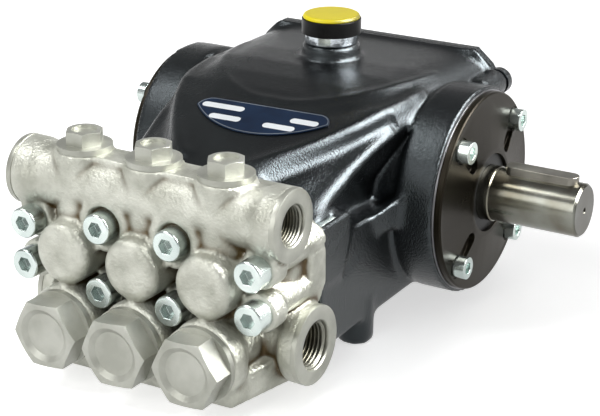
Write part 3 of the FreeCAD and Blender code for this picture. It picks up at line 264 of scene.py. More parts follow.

# %% [markdown]
# ## One recipe for every finish
#
# Cast, plated and turned surfaces differ in numbers more than in kind. Each has a base colour that
# wanders a little, a gloss that wanders with it, a fine grain, and painted shade in its hollows,
# which on the head is mixed with a real brown stain. Pictures of such surfaces would need
# unwrapping and would blur close up, so noise on object coordinates does the work: a grain of half
# a millimetre is half a millimetre on every piece. The painted shade comes from an attribute that
# the modelling cells write into the mesh.


# %% Colour and noise
def linear(text):
    """A colour written as in a paint program, as the linear values that shaders use."""
    parts = [int(text[i:i + 2], 16) / 255 for i in (1, 3, 5)]
    return tuple(c / 12.92 if c <= 0.04045 else ((c + 0.055) / 1.055) ** 2.4 for c in parts)


def noise_at(tree, where, scale, detail):
    """Noise on object coordinates, whose waves are about 1 / scale metres long."""
    noise = tree.nodes.new("ShaderNodeTexNoise")
    noise.inputs["Scale"].default_value = scale
    noise.inputs["Detail"].default_value = detail
    tree.links.new(where, noise.inputs["Vector"])
    return noise.outputs["Fac"]


def between(tree, value, low, high, spread=(0.35, 0.65)):
    """A ramp between two colours as a value goes through a spread."""
    ramp = tree.nodes.new("ShaderNodeValToRGB")
    for stop, at, colour in zip(ramp.color_ramp.elements, spread, (low, high)):
        stop.position = at
        stop.color = (*colour, 1.0)
    tree.links.new(value, ramp.inputs["Fac"])
    return ramp.outputs["Color"]


def shaded_and_stained(tree, colour, shade_stain_colour):
    """A colour that turns to the darker shade_stain_colour where the attribute shade_and_stain is 1:
    painted shade in hollows, with a real stain on the head.
    """
    shade_and_stain = tree.nodes.new("ShaderNodeAttribute")
    shade_and_stain.attribute_name = "shade_and_stain"
    node = tree.nodes.new("ShaderNodeMix")
    node.data_type = "RGBA"
    sockets = {socket.identifier: socket for socket in node.inputs}
    tree.links.new(shade_and_stain.outputs["Fac"], sockets["Factor_Float"])
    tree.links.new(colour, sockets["A_Color"])
    sockets["B_Color"].default_value = (*linear(shade_stain_colour), 1.0)
    return next(socket for socket in node.outputs if socket.identifier == "Result_Color")


# %% The recipe
PATCH_DETAIL = 4.0
GRAIN_DETAIL = 3.0
COAT_ROUGHNESS = 0.12


def finish_of(name, dark, light, metallic, rough, patch=60.0, grain=900.0, bump=0.05, depth=0.4,
              rough_spread=0.08, shade_stain_colour=None, coat=0.0, sheen=0.5, tint=(1.0, 1.0, 1.0)):
    """A finish: two colours, metal share, roughness, patches, grain of a depth in mm, and a colour
    for painted shade, and stain, in hollows.
    """
    material = bpy.data.materials.new(name)
    material.use_nodes = True
    tree = material.node_tree
    shader = tree.nodes["Principled BSDF"]
    shader.inputs["Metallic"].default_value = metallic
    shader.inputs["Specular IOR Level"].default_value = sheen
    shader.inputs["Specular Tint"].default_value = (*tint, 1.0)
    shader.inputs["Coat Weight"].default_value = coat
    shader.inputs["Coat Roughness"].default_value = COAT_ROUGHNESS
    where = tree.nodes.new("ShaderNodeTexCoord").outputs["Object"]
    patches = noise_at(tree, where, patch, PATCH_DETAIL)
    colour = between(tree, patches, linear(dark), linear(light))
    # Painted shade where the mesh marks hollows, mixed with a real stain on the head.
    if shade_stain_colour:
        colour = shaded_and_stained(tree, colour, shade_stain_colour)
    tree.links.new(colour, shader.inputs["Base Color"])
    span = tree.nodes.new("ShaderNodeMapRange")
    span.inputs["To Min"].default_value = rough - rough_spread
    span.inputs["To Max"].default_value = rough + rough_spread
    tree.links.new(patches, span.inputs["Value"])
    tree.links.new(span.outputs["Result"], shader.inputs["Roughness"])
    lift = tree.nodes.new("ShaderNodeBump")
    lift.inputs["Strength"].default_value = bump
    lift.inputs["Distance"].default_value = depth * MM
    tree.links.new(noise_at(tree, where, grain, GRAIN_DETAIL), lift.inputs["Height"])
    tree.links.new(lift.outputs["Normal"], shader.inputs["Normal"])
    print("finish", name)
    return material


# %% [markdown]
# ## Nickel-plated brass
#
# The head is cast in sand, and the plating keeps the grain of the sand. A fully metallic shader
# would mirror the dark ceiling on every upward face, while the real plating is so finely rough
# that it scatters about half of the light. So the metal share is about a half. The creases are
# painted dark brown: partly a real stain from plating and handling, partly painted shade. The
# turned port faces are smoother, and the plugs lie between the two.

# %% Nickel finishes
# The brown colour for the creases is a real stain mixed with painted shade.
nickel_casting = finish_of("nickel_casting", "#aaab9f", "#cdcec3", 0.45, 0.38, patch=90.0,
                           grain=850.0, bump=0.85, depth=0.5, shade_stain_colour="#4e3d1c")
# Its darker colour is painted shade, deeper in the port threads.
nickel_face = finish_of("nickel_face", "#9b9c92", "#b5b6ac", 0.6, 0.36, grain=2500.0, bump=0.1,
                        shade_stain_colour="#4d4a3c")
nickel_plug = finish_of("nickel_plug", "#a1a298", "#bbbcb3", 0.5, 0.38, grain=1500.0, bump=0.25)
# Painted shade: a near-black disc that closes each port's bore.
painted_bore_shade = finish_of("painted_bore_shade", "#14120e", "#25221b", 0.3, 0.5, grain=1500.0, bump=0.2)

# %% [markdown]
# ## Black coat and bronzed covers
#
# The crankcase wears a black coat, thick enough to be glossy and thin enough to show the grain of
# the casting under it. Its glints in the photo are a cold blue-grey, which the tint of the
# specular light gives. The bearing covers are chemically darkened and mirror in brown, so they
# have the same recipe with a weaker and warmer shine. A clear coat layer would do too, but it
# would look wet on a piece that is dry and a little dusty.

# %% Black finishes
# The near-black colour for its hollows is painted shade.
coated_casting = finish_of("coated_casting", "#0b0d0e", "#121516", 0.0, 0.25, patch=40.0,
                           grain=1300.0, bump=0.6, shade_stain_colour="#050606", tint=(0.84, 0.95, 1.0))
bronzed = finish_of("bronzed", "#15130d", "#201d15", 0.1, 0.3, patch=25.0, grain=1500.0,
                    bump=0.08, sheen=0.12, tint=(1.0, 0.88, 0.72))
seal_rubber = finish_of("seal_rubber", "#060606", "#0d0d0d", 0.0, 0.5, grain=1500.0, bump=0.2,
                        sheen=0.3)
black_plastic = finish_of("black_plastic", "#020202", "#070605", 0.0, 0.35, grain=1400.0,
                          bump=0.12, sheen=0.15)

# %% [markdown]
# ## Steels
#
# The screws are zinc plated, with a cold and slightly blue shine. The drive shaft is ground and
# oiled, so it is darker and warmer, and its end face was sawn and has no polish. The key, the
# shims and the filler's bright neck have finishes of their own, because beside each other they
# never look the same on a real machine.

# %% Steel finishes
zinc = finish_of("zinc", "#b5c0bd", "#d2dbd7", 0.9, 0.24, grain=1800.0)
shim_steel = finish_of("shim_steel", "#6f6f71", "#8f8f92", 0.9, 0.35)
# Its near-black colour darkens the shaft's end face and is painted shade in the centre hole.
ground_steel = finish_of("ground_steel", "#635f52", "#82837b", 0.9, 0.2, grain=2400.0, bump=0.04,
                         shade_stain_colour="#0c0b09")
key_steel = finish_of("key_steel", "#74716a", "#918f86", 0.95, 0.35, grain=1600.0, bump=0.1)
chromed = finish_of("chromed", "#a9afb4", "#cfd5d9", 1.0, 0.14, grain=700.0, bump=0.12)

# %% [markdown]
# ## Coloured pieces
#
# The filler's cap is moulded in yellow, the plate is painted dark blue with white fields and a
# silver line that is a painted highlight of its edge, and the sight glass on the hidden side shows
# the oil behind it. Real glass over a modelled well of oil could do that, but nothing is to be seen
# through it, so an oil colour under a clear coat is enough.

# %% Coloured finishes
yellow_plastic = finish_of("yellow_plastic", "#e8d60e", "#f2e014", 0.0, 0.4, grain=1200.0,
                           sheen=0.35)
plate_blue = finish_of("plate_blue", "#031c38", "#052747", 0.1, 0.3, grain=1600.0, bump=0.04,
                       sheen=0.4)
plate_white = finish_of("plate_white", "#e2e7ea", "#eef2f4", 0.0, 0.4, sheen=0.3)
# Painted highlight: the silver line inside the plate's edge.
painted_edge_highlight = finish_of("painted_edge_highlight", "#8f989f", "#b7bfc5", 0.7, 0.35)
oil_glass = finish_of("oil_glass", "#8a7a34", "#b3a251", 0.0, 0.1, coat=0.8)

# %% [markdown]
# ## Soft castings
#
# A casting has no sharp corner: the mould leaves a radius of two or three millimetres inside and
# out. Bevels would have to meet in hundreds of places. So the CAD solid is remeshed into even
# little quads, and each point moves towards the mean of its neighbours a few times, which rounds
# every corner alike. A hold keeps machined faces where they are. A further and wider smoothing is
# not kept, but its distance from the surface tells how hollow each place is, and that sets the
# painted shade in the hollows.


# %% Copies of CAD nodes
def merged_copy(node, name):
    """A copy of a CAD node with the corners of its loose triangles joined."""
    mesh = nodes[node].data.copy()
    mesh.name = name
    work = bmesh.new()
    work.from_mesh(mesh)
    bmesh.ops.remove_doubles(work, verts=work.verts, dist=1e-6)
    work.to_mesh(mesh)
    work.free()
    mesh.materials.clear()
    piece = bpy.data.objects.new(name, mesh)
    bpy.context.collection.objects.link(piece)
    return piece


def applied(piece):
    """Replaces a piece's mesh by what its modifiers make of it."""
    graph = bpy.context.evaluated_depsgraph_get()
    mesh = bpy.data.meshes.new_from_object(piece.evaluated_get(graph))
    piece.modifiers.clear()
    piece.data = mesh
    return mesh


# %% Points and neighbours
def points_of(mesh):
    """The vertices of a mesh as an array."""
    flat = np.empty(len(mesh.vertices) * 3)
    mesh.vertices.foreach_get("co", flat)
    return flat.reshape(-1, 3)


def edges_of(mesh):
    """The pairs of vertices that share an edge, and how many edges each vertex has."""
    flat = np.empty(len(mesh.edges) * 2, np.int32)
    mesh.edges.foreach_get("vertices", flat)
    return flat.reshape(-1, 2), np.maximum(np.bincount(flat, minlength=len(mesh.vertices)), 1)


def relaxed(points, edges, degree, passes, weight=1.0):
    """Moves each point half way to the mean of its neighbours, passes times over."""
    count = len(points)
    for _ in range(passes):
        total = np.empty_like(points)
        for axis in range(3):
            column = points[:, axis]
            total[:, axis] = (np.bincount(edges[:, 0], column[edges[:, 1]], count)
                              + np.bincount(edges[:, 1], column[edges[:, 0]], count))
        points = points + 0.5 * weight * (total / degree[:, None] - points)
    return points


def normals_of(mesh, points):
    """Moves a mesh's vertices to new points and gives their normals there."""
    mesh.vertices.foreach_set("co", points.ravel())
    mesh.update()
    normals = np.empty(len(points) * 3)
    mesh.vertices.foreach_get("normal", normals)
    return normals.reshape(-1, 3)


def mark_shade_and_stain(mesh, values):
    """Writes how much painted shade, and on the head real stain, each vertex gets, from 0 to 1, for
    the materials to read.
    """
    mesh.attributes.new("shade_and_stain", "FLOAT", "POINT").data.foreach_set("value", values.ravel())


def smooth_step(value, start, stop):
    """0 before start, 1 after stop, and t * t * (3 - 2 * t) between."""
    t = np.clip((value - start) / (stop - start), 0.0, 1.0)
    return t * t * (3.0 - 2.0 * t)


# %% Soft casting
WIDE_PASSES = 36
FULL_HOLLOW = 0.55
LOOKS_UP = (0.1, 0.55)
TOP_LIGHT_LIFT = 0.85


def soft_casting(node, name, voxel, passes, hold, shape):
    """The cast form of a node: even quads, relaxed where hold is 1 and kept where it is 0.

    The shade_and_stain value is the distance to the widely relaxed surface over FULL_HOLLOW
    voxels, which paints shade into hollows. It is less on faces that look up, as painted top light.
    """
    piece = merged_copy(node, name)
    remesh = piece.modifiers.new("even", "REMESH")
    remesh.mode = "VOXEL"
    remesh.voxel_size = voxel
    mesh = applied(piece)
    edges, degree = edges_of(mesh)
    points = points_of(mesh)
    points = relaxed(points, edges, degree, passes, hold(in_drawing(points))[:, None])
    points = shape(points, normals_of(mesh, points))
    normals = normals_of(mesh, points)
    rise = ((relaxed(points, edges, degree, WIDE_PASSES) - points) * normals).sum(1)
    # Painted top light: faces that look up keep less of the painted shade.
    shade_left_by_top_light = 1.0 - TOP_LIGHT_LIFT * smooth_step(normals[:, 2], *LOOKS_UP)
    mark_shade_and_stain(mesh, np.clip(rise / (voxel * FULL_HOLLOW), 0.0, 1.0) * shade_left_by_top_light)
    mesh.shade_smooth()
    print(name, len(mesh.polygons), "faces")
    return piece


# %% [markdown]
# ## The head casting
#
# The brass head is one casting: two galleries that run across, three columns with domes between
# them, and bosses for the screws. The ports at its ends are machined after casting, so the rings
# round them stay sharp, and so does the joint with the crankcase. The relaxing could be followed
# by a cut with the port inserts, but a boolean leaves ragged rims in such a fine mesh. Instead the
# points near each port are pushed clear of the insert, which then covers the gap.

# %% Where the ports are
JOINT_Y = -105.0
PORT_FACE = 64.8
# The port's axis, the radius of its boss and of its bore, and the pitch of its thread.
OUTLET = {"y": -137.8, "z": 26.4, "boss": 14.8, "bore": 8.3, "pitch": 1.34}
INLET = {"y": -120.0, "z": -31.4, "boss": 16.8, "bore": 10.2, "pitch": 1.81}


def about_port(place, port):
    """Depth behind the port's face, distance from its axis and angle about it."""
    y = place[:, 1] - port["y"]
    z = place[:, 2] - port["z"]
    return PORT_FACE - np.abs(place[:, 0]), np.hypot(y, z), np.arctan2(z, y)


# %% The head's hold and its room for the inserts
JOINT_SOFT = (0.5, 3.0)
RING_SOFT = (2.0, 6.0)
RING_ROOM = 1.5
WALL_DEPTH = 14.2
WALL_ROOM = 0.9
RIM_DEPTH = 2.3
RIM_BAND = 0.5
RIM_ROOM = 0.4
FACE_BAND = 0.5
FACE_REACH = 0.2


def head_hold(place):
    """1 everywhere except at the joint with the crankcase and round the machined ports."""
    free = smooth_step(JOINT_Y - place[:, 1], *JOINT_SOFT)
    for port in (OUTLET, INLET):
        depth, radius, _ = about_port(place, port)
        near = (radius < port["boss"] + RING_ROOM).astype(float)
        free = free * (1.0 - near * (1.0 - smooth_step(depth, *RING_SOFT)))
    return free


def clear_ports(points, _):
    """Pushes the bore's wall out and the boss's rim in, and sets the boss's face back."""
    place = in_drawing(points)
    for port in (OUTLET, INLET):
        depth, radius, angle = about_port(place, port)
        wall = (depth < WALL_DEPTH) & (radius < port["bore"] + WALL_ROOM)
        rim = (depth < RIM_DEPTH) & (np.abs(radius - port["boss"]) < RIM_BAND)
        drawn_in = np.where(rim, port["boss"] - RIM_ROOM, radius)
        wanted = np.where(wall, port["bore"] + WALL_ROOM, drawn_in)
        place[:, 1] = port["y"] + wanted * np.cos(angle)
        place[:, 2] = port["z"] + wanted * np.sin(angle)
        face = (depth < FACE_BAND) & (wanted <= port["boss"] + FACE_REACH)
        place[face, 0] = np.sign(place[face, 0]) * (PORT_FACE - FACE_BAND)
    return in_frame(*place.T)


# %% The head
HEAD_VOXEL = 0.9 * MM
HEAD_PASSES = 8

head = soft_casting("pump_head", "head_casting", HEAD_VOXEL, HEAD_PASSES, head_hold, clear_ports)
head.data.materials.append(nickel_casting)
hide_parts("pump_head")
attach(head, "housing")

# %% [markdown]
# ## Relief on the crankcase
#
# The crankcase has ridges that flow from the head joint up to the drums, with a valley between
# them, and a soft edge where the flat deck turns down to the slope. The CAD solid has their main
# run, but the relaxing takes their crispness. Sculpting by hand would bring it back, and could not
# be repeated. So each ridge or valley is drawn as a curve, and the surface near it swells or sinks
# by a millimetre or two. Both sides are alike, so one curve does for two.

# %% Relief curves
# Height and width in millimetres, then points about the crank axis on the drive side.
DECK_EDGE = (0.55, 2.4, ((-6.0, -48.5, 43.5), (7.5, -49.5, 43.0), (18.0, -46.5, 44.0),
                         (29.5, -39.5, 45.5), (39.0, -30.0, 47.5), (46.0, -15.0, 48.0),
                         (49.5, 0.0, 48.0), (50.5, 14.0, 47.5)))
SHOULDER_VALLEY = (-0.6, 4.5, ((24.0, -58.0, 41.0), (34.0, -51.0, 42.5), (43.5, -40.0, 44.5),
                               (50.0, -26.0, 46.0), (53.0, -10.0, 46.5)))
UPPER_RIDGE = (1.3, 3.8, ((12.0, -97.0, 28.0), (18.5, -92.5, 30.0), (25.0, -85.0, 32.0),
                          (30.5, -78.5, 33.5), (36.5, -71.5, 35.5), (41.5, -63.5, 38.0),
                          (46.5, -55.0, 40.0), (50.5, -45.0, 42.0), (53.5, -32.0, 43.5),
                          (54.5, -20.0, 45.0), (55.0, -8.0, 45.5)))
VALLEY = (-2.2, 5.0, ((27.0, -99.0, 24.0), (32.0, -90.5, 26.5), (38.0, -79.5, 29.5),
                      (43.5, -69.0, 32.0), (49.5, -57.5, 34.5), (54.5, -44.5, 36.5),
                      (56.5, -37.0, 37.5)))
FLANK_RIDGE = (1.9, 4.2, ((50.5, -100.0, 10.5), (50.5, -94.5, 13.0), (50.0, -84.0, 17.0),
                          (50.5, -75.0, 21.0), (51.5, -66.0, 26.0), (53.5, -55.5, 31.0),
                          (55.0, -46.0, 34.0), (57.0, -37.5, 36.0)))
RELIEF = (DECK_EDGE, SHOULDER_VALLEY, UPPER_RIDGE, VALLEY, FLANK_RIDGE)
CORNER_ROUNDS = 5
FADED_ENDS = 0.12
HOOD_ABOVE = 2.0
HOOD_BEFORE = 24.0


def rounded_path(points):
    """A polyline with its corners cut again and again, which tends to a smooth curve."""
    path = np.array(points)
    for _ in range(CORNER_ROUNDS):
        early = 0.75 * path[:-1] + 0.25 * path[1:]
        late = 0.25 * path[:-1] + 0.75 * path[1:]
        cut = np.stack([early, late], axis=1).reshape(-1, 3)
        path = np.concatenate([path[:1], cut, path[-1:]])
    return path


def case_relief(points, normals):
    """Moves each point along its normal by height * exp(-(distance / width) ** 2) of each curve.

    A curve fades in and out over a small share of its length at each end.
    """
    place = in_drawing(points)
    place[:, 0] = np.abs(place[:, 0])
    near = np.nonzero((place[:, 2] > HOOD_ABOVE) & (place[:, 1] < HOOD_BEFORE))[0]
    for height, width, line in RELIEF:
        path = rounded_path(line)
        distance = np.full(len(near), np.inf)
        along = np.zeros(len(near))
        for step, knot in enumerate(path):
            gap = np.linalg.norm(place[near] - knot, axis=1)
            closer = gap < distance
            distance[closer] = gap[closer]
            along[closer] = step / (len(path) - 1)
        fade = smooth_step(along, 0.0, FADED_ENDS) * smooth_step(1.0 - along, 0.0, FADED_ENDS)
        move = height * np.exp(-(distance / width) ** 2) * fade
        points[near] += normals[near] * move[:, None] * MM
    print(len(RELIEF), "relief curves over", len(near), "points")
    return points


# %% [markdown]
# ## The crankcase casting
#
# The crankcase is one light-metal casting that holds the shaft. It is made as the head is, in
# slightly larger quads, because its forms are larger. Quads as small as the head's would take
# about 70% more triangles and show nothing more. The drums' ends are turned flat for the bearing
# covers, and the front is milled for the head, so both are held.

# %% The crankcase
CASE_VOXEL = 1.18 * MM
CASE_PASSES = 7
DRUM_END = 78.2
DRUM_SOFT = (0.3, 1.5)


def case_hold(place):
    """1 everywhere except at the head joint and the machined drum ends."""
    at_joint = smooth_step(place[:, 1] - JOINT_Y, *JOINT_SOFT)
    return at_joint * smooth_step(DRUM_END - np.abs(place[:, 0]), *DRUM_SOFT)


case = soft_casting("crankcase", "crankcase_casting", CASE_VOXEL, CASE_PASSES, case_hold,
                    case_relief)
case.data.materials.append(coated_casting)
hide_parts("crankcase")
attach(case, "housing")

# %% [markdown]
# ## Ports
#
# Each port is faced and threaded on a lathe. Here it is an insert turned from one profile: a flat
# ring with broken edges, and a real thread behind it. A thread could be swept along a helix, but
# then its ends and its back need closing by hand. So the whole insert is one grid that closes on
# itself, and only the radius follows the helix:
#
# radius = bore - depth of thread * wave(depth / pitch - turn), where turn is angle / (2 pi)


# %% Solids from points
def built(name, points, faces, material, body="housing"):
    """A finished piece with outward normals."""
    mesh = bpy.data.meshes.new(name)
    mesh.from_pydata(points, [], faces)
    work = bmesh.new()
    work.from_mesh(mesh)
    bmesh.ops.recalc_face_normals(work, faces=work.faces)
    work.to_mesh(mesh)
    work.free()
    mesh.materials.append(material)
    piece = bpy.data.objects.new(name, mesh)
    bpy.context.collection.objects.link(piece)
    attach(piece, body)
    print(name, len(mesh.polygons), "faces")
    return piece


def closed_grid(name, grid, material):
    """A ring-shaped solid from an array of points that closes on itself in both directions."""
    rows, columns, _ = grid.shape
    index = np.arange(rows * columns).reshape(rows, columns)
    right = np.roll(index, -1, axis=1)
    up = np.roll(index, -1, axis=0)
    across = np.roll(up, -1, axis=1)
    quads = np.stack([index, right, across, up], axis=-1).reshape(-1, 4)
    return built(name, grid.reshape(-1, 3), quads.tolist(), material)


def prism(name, base, rise, material):
    """A closed plate of any outline: base points, and the vector up to its other face."""
    count = len(base)
    here = np.arange(count)
    after = np.roll(here, -1)
    sides = np.stack([here, after, count + after, count + here], axis=-1).tolist()
    faces = [list(range(count)), list(range(count, 2 * count))] + sides
    return built(name, np.concatenate([base, base + rise]), faces, material)


# %% The thread and its ring
AROUND = 112
PER_PITCH = 14
THREAD_START = 0.9
THREAD_STOP = 14.0
THREAD_DEPTH = 0.6134
CREST_SHAPE = 0.8
RING_BACK = 2.6
LINER = 1.2
PROUD = 0.02


def ring_profile(port):
    """Depth and radius from the liner's inner end, round the ring, to the mouth of the thread."""
    bore, boss = port["bore"], port["boss"]
    liner = [(THREAD_STOP, bore + LINER), (RING_BACK, bore + LINER)]
    edge = [(RING_BACK, boss - 0.7), (RING_BACK - 0.2, boss + PROUD), (0.45, boss + PROUD),
            (0.12, boss - 0.1)]
    face = [(0.0, boss - 0.45), (0.0, bore + 0.75), (0.12, bore + 0.55)]
    return np.array(liner + edge + face)


def thread_radius(port, depths, turn):
    """Bore less the thread's depth times a raised cosine of depth / pitch - turn."""
    pitch = port["pitch"]
    wave = 0.5 - 0.5 * np.cos(2.0 * math.pi * (depths[:, None] / pitch - turn[None, :]))
    grown = smooth_step(depths, THREAD_START, THREAD_START + pitch)[:, None]
    return port["bore"] + 0.1 - THREAD_DEPTH * pitch * wave ** CREST_SHAPE * grown


# %% Port inserts
SHADE_START = 0.25
SHADE_DEPTH = 9.0
RING_CORNER = math.radians(40.0)
DISC_SIDES = 48
DISC_GAP = 0.4
DISC_EDGE = 0.5
DISC_THICKNESS = 0.3


def turned(port, sign, depth, radius, turn):
    """Places at a depth behind the port's face, at a radius and a turn about its axis."""
    angle = 2.0 * math.pi * turn
    return in_frame(sign * (PORT_FACE - depth), port["y"] + radius * np.cos(angle),
                    port["z"] + radius * np.sin(angle))


def port_insert(name, port, sign):
    """The ring and thread of one port, with painted shade that deepens inwards, and a disc of painted
    shade behind it.
    """
    ring = ring_profile(port)
    steps = int((THREAD_STOP - THREAD_START) / port["pitch"] * PER_PITCH)
    depths = np.linspace(THREAD_START, THREAD_STOP, steps)
    turn = np.arange(AROUND) / AROUND
    plain = np.repeat(ring[:, 1:], AROUND, axis=1)
    radius = np.concatenate([plain, thread_radius(port, depths, turn)])
    depth = np.concatenate([ring[:, 0], depths])[:, None]
    piece = closed_grid(name, turned(port, sign, depth, radius, turn[None, :]), nickel_face)
    # Painted shade in the thread, darker the deeper it goes.
    shade = np.zeros_like(radius)
    shade[len(ring):] = np.clip(SHADE_START + depths / SHADE_DEPTH, 0.0, 1.0)[:, None]
    mark_shade_and_stain(piece.data, shade)
    piece.data.shade_smooth()
    piece.data.set_sharp_from_angle(angle=RING_CORNER)
    round_turn = np.arange(DISC_SIDES) / DISC_SIDES
    # A disc of painted shade closes the bore behind the thread.
    disc = turned(port, sign, THREAD_STOP + DISC_GAP, port["bore"] + DISC_EDGE, round_turn)
    prism(name + "_floor", disc, np.array((-sign * DISC_THICKNESS * MM, 0.0, 0.0)), painted_bore_shade)


for side, sign in (("right", 1), ("left", -1)):
    port_insert("outlet_thread_" + side, OUTLET, sign)
    port_insert("inlet_thread_" + side, INLET, sign)

# %% [markdown]
# ## Machined pieces
#
# Screws, plugs, covers and the shaft are turned or milled, so their faces stay exact and only
# their edges are broken. A subdivision surface would round the faces too. So a copy of the solid
# gets its flat faces back from triangles, then a narrow bevel at its edges. Normals weighted by
# area keep the large faces looking flat next to it.

# %% Eased copies
SAME_PLANE = math.radians(1.0)
SHARP_EDGE = math.radians(32.0)
FLAT_WEIGHT = 80


def eased(node, name, width, material, body="housing", shape=None):
    """A node's copy with its edges broken by a small bevel, after a change of its own if any."""
    piece = merged_copy(node, name)
    work = bmesh.new()
    work.from_mesh(piece.data)
    bmesh.ops.dissolve_limit(work, angle_limit=SAME_PLANE, verts=work.verts, edges=work.edges)
    work.to_mesh(piece.data)
    work.free()
    if shape:
        shape(piece.data)
    bevel = piece.modifiers.new("edge_break", "BEVEL")
    bevel.width = width
    bevel.segments = 2
    bevel.limit_method = "ANGLE"
    bevel.angle_limit = SHARP_EDGE
    flat = piece.modifiers.new("flat_faces", "WEIGHTED_NORMAL")
    flat.weight = FLAT_WEIGHT
    flat.keep_sharp = True
    piece.data.shade_smooth()
    piece.data.materials.append(material)
    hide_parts(node)
    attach(piece, body)
    print(name, len(piece.data.polygons), "faces before the edge break")
    return piece


# %% [markdown]
# ## Screws and plugs of the head
#
# Eight socket screws hold the head, and six hexagon plugs close its valves. The solids have the
# sockets and the hexagons already. The front plugs are forged with a shallow dish whose wall is a
# slope. The solid has it as a plain step, and its floor is drawn in and down here, which makes
# the step a cone. That moves one ring of points, where a new dish would need a cut.

# %% Head screws
for row in ("upper", "lower"):
    for index in range(1, 5):
        eased("head_screw_%s_%d" % (row, index), "socket_screw_%s_%d" % (row, index), 0.3 * MM, zinc)

# %% Valve plugs
DISH = {"radius": 11.5, "depth": 0.8, "floor_radius": 9.3, "floor_depth": 1.5}
CLOSE_IN_DEPTH = 0.05
CLOSE_IN_RADIUS = 0.3


def sloped_dish(mesh):
    """Scales the floor of a plug's dish about its axis and lowers it, so its wall is a cone."""
    points = points_of(mesh)
    middle = (points.min(axis=0) + points.max(axis=0)) / 2.0
    face = points[:, 1].min()
    radius = np.hypot(points[:, 0] - middle[0], points[:, 2] - middle[2])
    level = np.abs(points[:, 1] - face - DISH["depth"] * MM) < CLOSE_IN_DEPTH * MM
    floor = level & (radius < (DISH["radius"] + CLOSE_IN_RADIUS) * MM)
    shrink = DISH["floor_radius"] / DISH["radius"]
    for axis in (0, 2):
        points[floor, axis] = middle[axis] + (points[floor, axis] - middle[axis]) * shrink
    points[floor, 1] = face + DISH["floor_depth"] * MM
    mesh.vertices.foreach_set("co", points.ravel())
    mesh.update()
    print("dish floor", int(floor.sum()), "points")


for index in range(1, 4):
    eased("outlet_valve_plug_%d" % index, "outlet_plug_%d" % index, 0.3 * MM, nickel_plug)
    eased("inlet_valve_plug_%d" % index, "inlet_plug_%d" % index, 0.4 * MM, nickel_plug,
          shape=sloped_dish)

# %% [markdown]
# ## Bearing covers
#
# A round cover closes each drum, on a thin steel shim that sets the play of the bearing, and four
# screws hold it. The cover on the drive side lets the shaft through, and the other is closed. One
# mesh with three materials could be the whole joint. As pieces of their own, the dark cover, the
# pale line of the shim and the bright screws each keep their finish and their own edge breaks.

# %% Covers, shims and their screws
for end in ("shaft", "blind"):
    eased(end + "_bearing_cover", end + "_side_cover", 0.4 * MM, bronzed)
    eased(end + "_cover_shim_ring", end + "_side_shim", 0.1 * MM, shim_steel)
    eased(end + "_cover_screws", end + "_side_screws", 0.3 * MM, zinc)

# %% [markdown]
# ## Drive shaft, key and seal
#
# The shaft and its key turn together, so they ride on the crankshaft's body, and the rubber seal
# stays with the housing. The shaft's end face was sawn and has a centre hole from the lathe. A
# material of its own could set the face apart, but the face is part of the same piece, so the
# shade_and_stain attribute darkens the face half way and paints full shade into the centre hole.

# %% Shaft, key and seal
END_FACE = 0.1
END_DARKENING = 0.5
CENTRE_RADIUS = 1.2
CENTRE_DEPTH = 4.0


def darken_end_and_hole(mesh):
    """Darkens the end face half way, and paints full shade inside the centre hole."""
    place = in_drawing(points_of(mesh))
    end = place[:, 0].max()
    end_darkening = np.where(place[:, 0] > end - END_FACE, END_DARKENING, 0.0)
    in_centre = np.hypot(place[:, 1], place[:, 2]) < CENTRE_RADIUS
    # Painted shade in the centre hole.
    end_darkening[in_centre & (place[:, 0] > end - CENTRE_DEPTH)] = 1.0
    mark_shade_and_stain(mesh, end_darkening)


shaft = eased("crankshaft", "drive_shaft_end", 0.25 * MM, ground_steel, "crankshaft")
darken_end_and_hole(shaft.data)
eased("shaft_key", "parallel_key", 0.3 * MM, key_steel, "crankshaft")
eased("shaft_seal", "lip_seal", 0.2 * MM, seal_rubber)

# %% [markdown]
# ## Filler and hidden side
#
# Oil goes in through a bright neck with a black and yellow cap. The rear lid, its screws, the oil
# sight glass and the drain plug are on sides that don't show in the photo. Their solids could stay
# as they are, but the pump is looked at from all sides. So they get the same edge breaks as the
# rest, and the plain finishes that such pumps have.

# %% Filler, lid and oil fittings
eased("filler_neck", "bright_neck", 0.3 * MM, chromed)
eased("filler_cap_skirt", "cap_skirt", 0.3 * MM, black_plastic)
eased("filler_cap_top", "cap_top", 0.3 * MM, yellow_plastic)
eased("rear_cover", "rear_lid", 0.6 * MM, coated_casting)
eased("rear_cover_screws", "rear_lid_screws", 0.3 * MM, zinc)
eased("oil_sight_glass", "sight_glass_lens", 0.3 * MM, oil_glass)
eased("oil_drain_plug", "drain_plug_head", 0.3 * MM, zinc)

# %% [markdown]
# ## The blank plate
#
# A thin painted plate is fixed to the slope of the hood, a little askew. It has a silver line
# inside its edge, a painted highlight of the edge, and four white fields. A picture texture could
# carry them, but they would lose their relief and their edge in a close view. So each is a thin
# solid, given in lengths along the plate and down from its top edge.

# %% Places on the plate
SLOPE_RISE = 0.316
SLOPE = math.atan(SLOPE_RISE)
PLATE_TURN = math.radians(1.6)
BOW_STEPS = 49
SHOULDER_STEPS = 9
PLATE = {"shift": 2.5, "setback": 55.3, "height": 41.505, "face": 0.5, "half": 32.85, "tip": 6.6,
         "width": 21.0}


def on_plate(along, down, lift):
    """Places on the plate: turned in its plane, then laid on the slope, then lifted off it."""
    across = PLATE["shift"] + along * math.cos(PLATE_TURN) + down * math.sin(PLATE_TURN)
    fall = down * math.cos(PLATE_TURN) - along * math.sin(PLATE_TURN)
    up = PLATE["face"] + lift
    back = -PLATE["setback"] - fall * math.cos(SLOPE) - up * math.sin(SLOPE)
    return in_frame(across, back, PLATE["height"] - fall * math.sin(SLOPE) + up * math.cos(SLOPE))


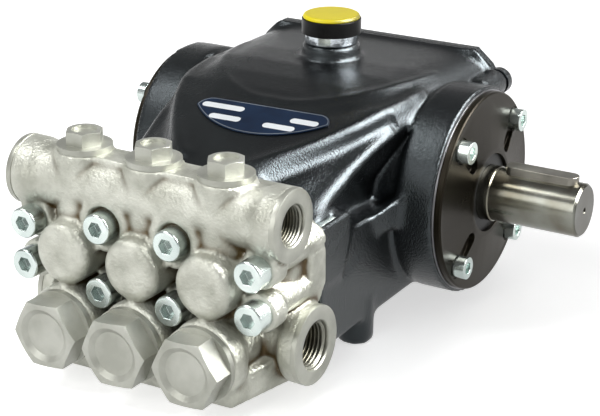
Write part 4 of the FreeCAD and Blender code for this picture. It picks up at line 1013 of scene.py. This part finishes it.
def plate_rim():
    """The plate's outline: a bow of one circle below, two round shoulders and a straight top."""
    half, tip, width = PLATE["half"], PLATE["tip"], PLATE["width"]
    radius = (half ** 2 + (width - tip) ** 2) / (2 * (width - tip))
    sweep = np.linspace(-1.0, 1.0, BOW_STEPS) * math.asin(half / radius)
    bow = np.stack([radius * np.sin(sweep), width - radius + radius * np.cos(sweep)], axis=1)
    turn = np.linspace(0.0, math.pi / 2, SHOULDER_STEPS)[1:]
    right = np.stack([half - tip + tip * np.cos(turn), tip * (1 - np.sin(turn))], axis=1)
    left = right[::-1] * (-1.0, 1.0)
    return np.concatenate([bow, right, left])


def inset(outline, amount):
    """An outline drawn in by an amount along its own normals."""
    along = np.roll(outline, -1, axis=0) - np.roll(outline, 1, axis=0)
    along /= np.linalg.norm(along, axis=1)[:, None]
    return outline + amount * np.stack([along[:, 1], -along[:, 0]], axis=1)


# %% Plate and its line
eased("rating_plate", "blank_plate", 0.1 * MM, plate_blue)

# How far in from the plate's edge, and how high above its face, for the line's four corners.
LINE = ((0.45, 0.01), (0.45, 0.06), (0.75, 0.06), (0.75, 0.01))
rim = plate_rim()
line_grid = np.stack([on_plate(*inset(rim, amount).T, lift) for amount, lift in LINE])
# The silver line is a painted highlight of the plate's edge.
closed_grid("plate_highlight_line", line_grid, painted_edge_highlight)

# %% Plate fields
FIELDS = (((-28.6, 5.55), (-10.8, 5.55)), ((-20.9, 13.05), (-8.6, 13.05)),
          ((6.4, 13.55), (18.4, 13.55)), ((16.8, 7.45), (26.9, 7.45)))
FIELD_HALF = 1.75
FIELD_LOW = 0.01
FIELD_HIGH = 0.07
END_STEPS = 12


def pill(start, stop, half):
    """The outline of a slot with round ends: two half circles joined by straight lines."""
    start, stop = np.array(start), np.array(stop)
    lean = math.atan2(*(stop - start)[::-1])
    turn = lean - math.pi / 2 + math.pi * np.arange(END_STEPS + 1) / END_STEPS
    round_end = half * np.stack([np.cos(turn), np.sin(turn)], axis=1)
    return np.concatenate([stop + round_end, start - round_end])


thickness = on_plate(0.0, 0.0, FIELD_HIGH) - on_plate(0.0, 0.0, FIELD_LOW)
for number, (start, stop) in enumerate(FIELDS, start=1):
    base = on_plate(*pill(start, stop, FIELD_HALF).T, FIELD_LOW)
    prism("plate_field_%d" % number, base, thickness, plate_white)
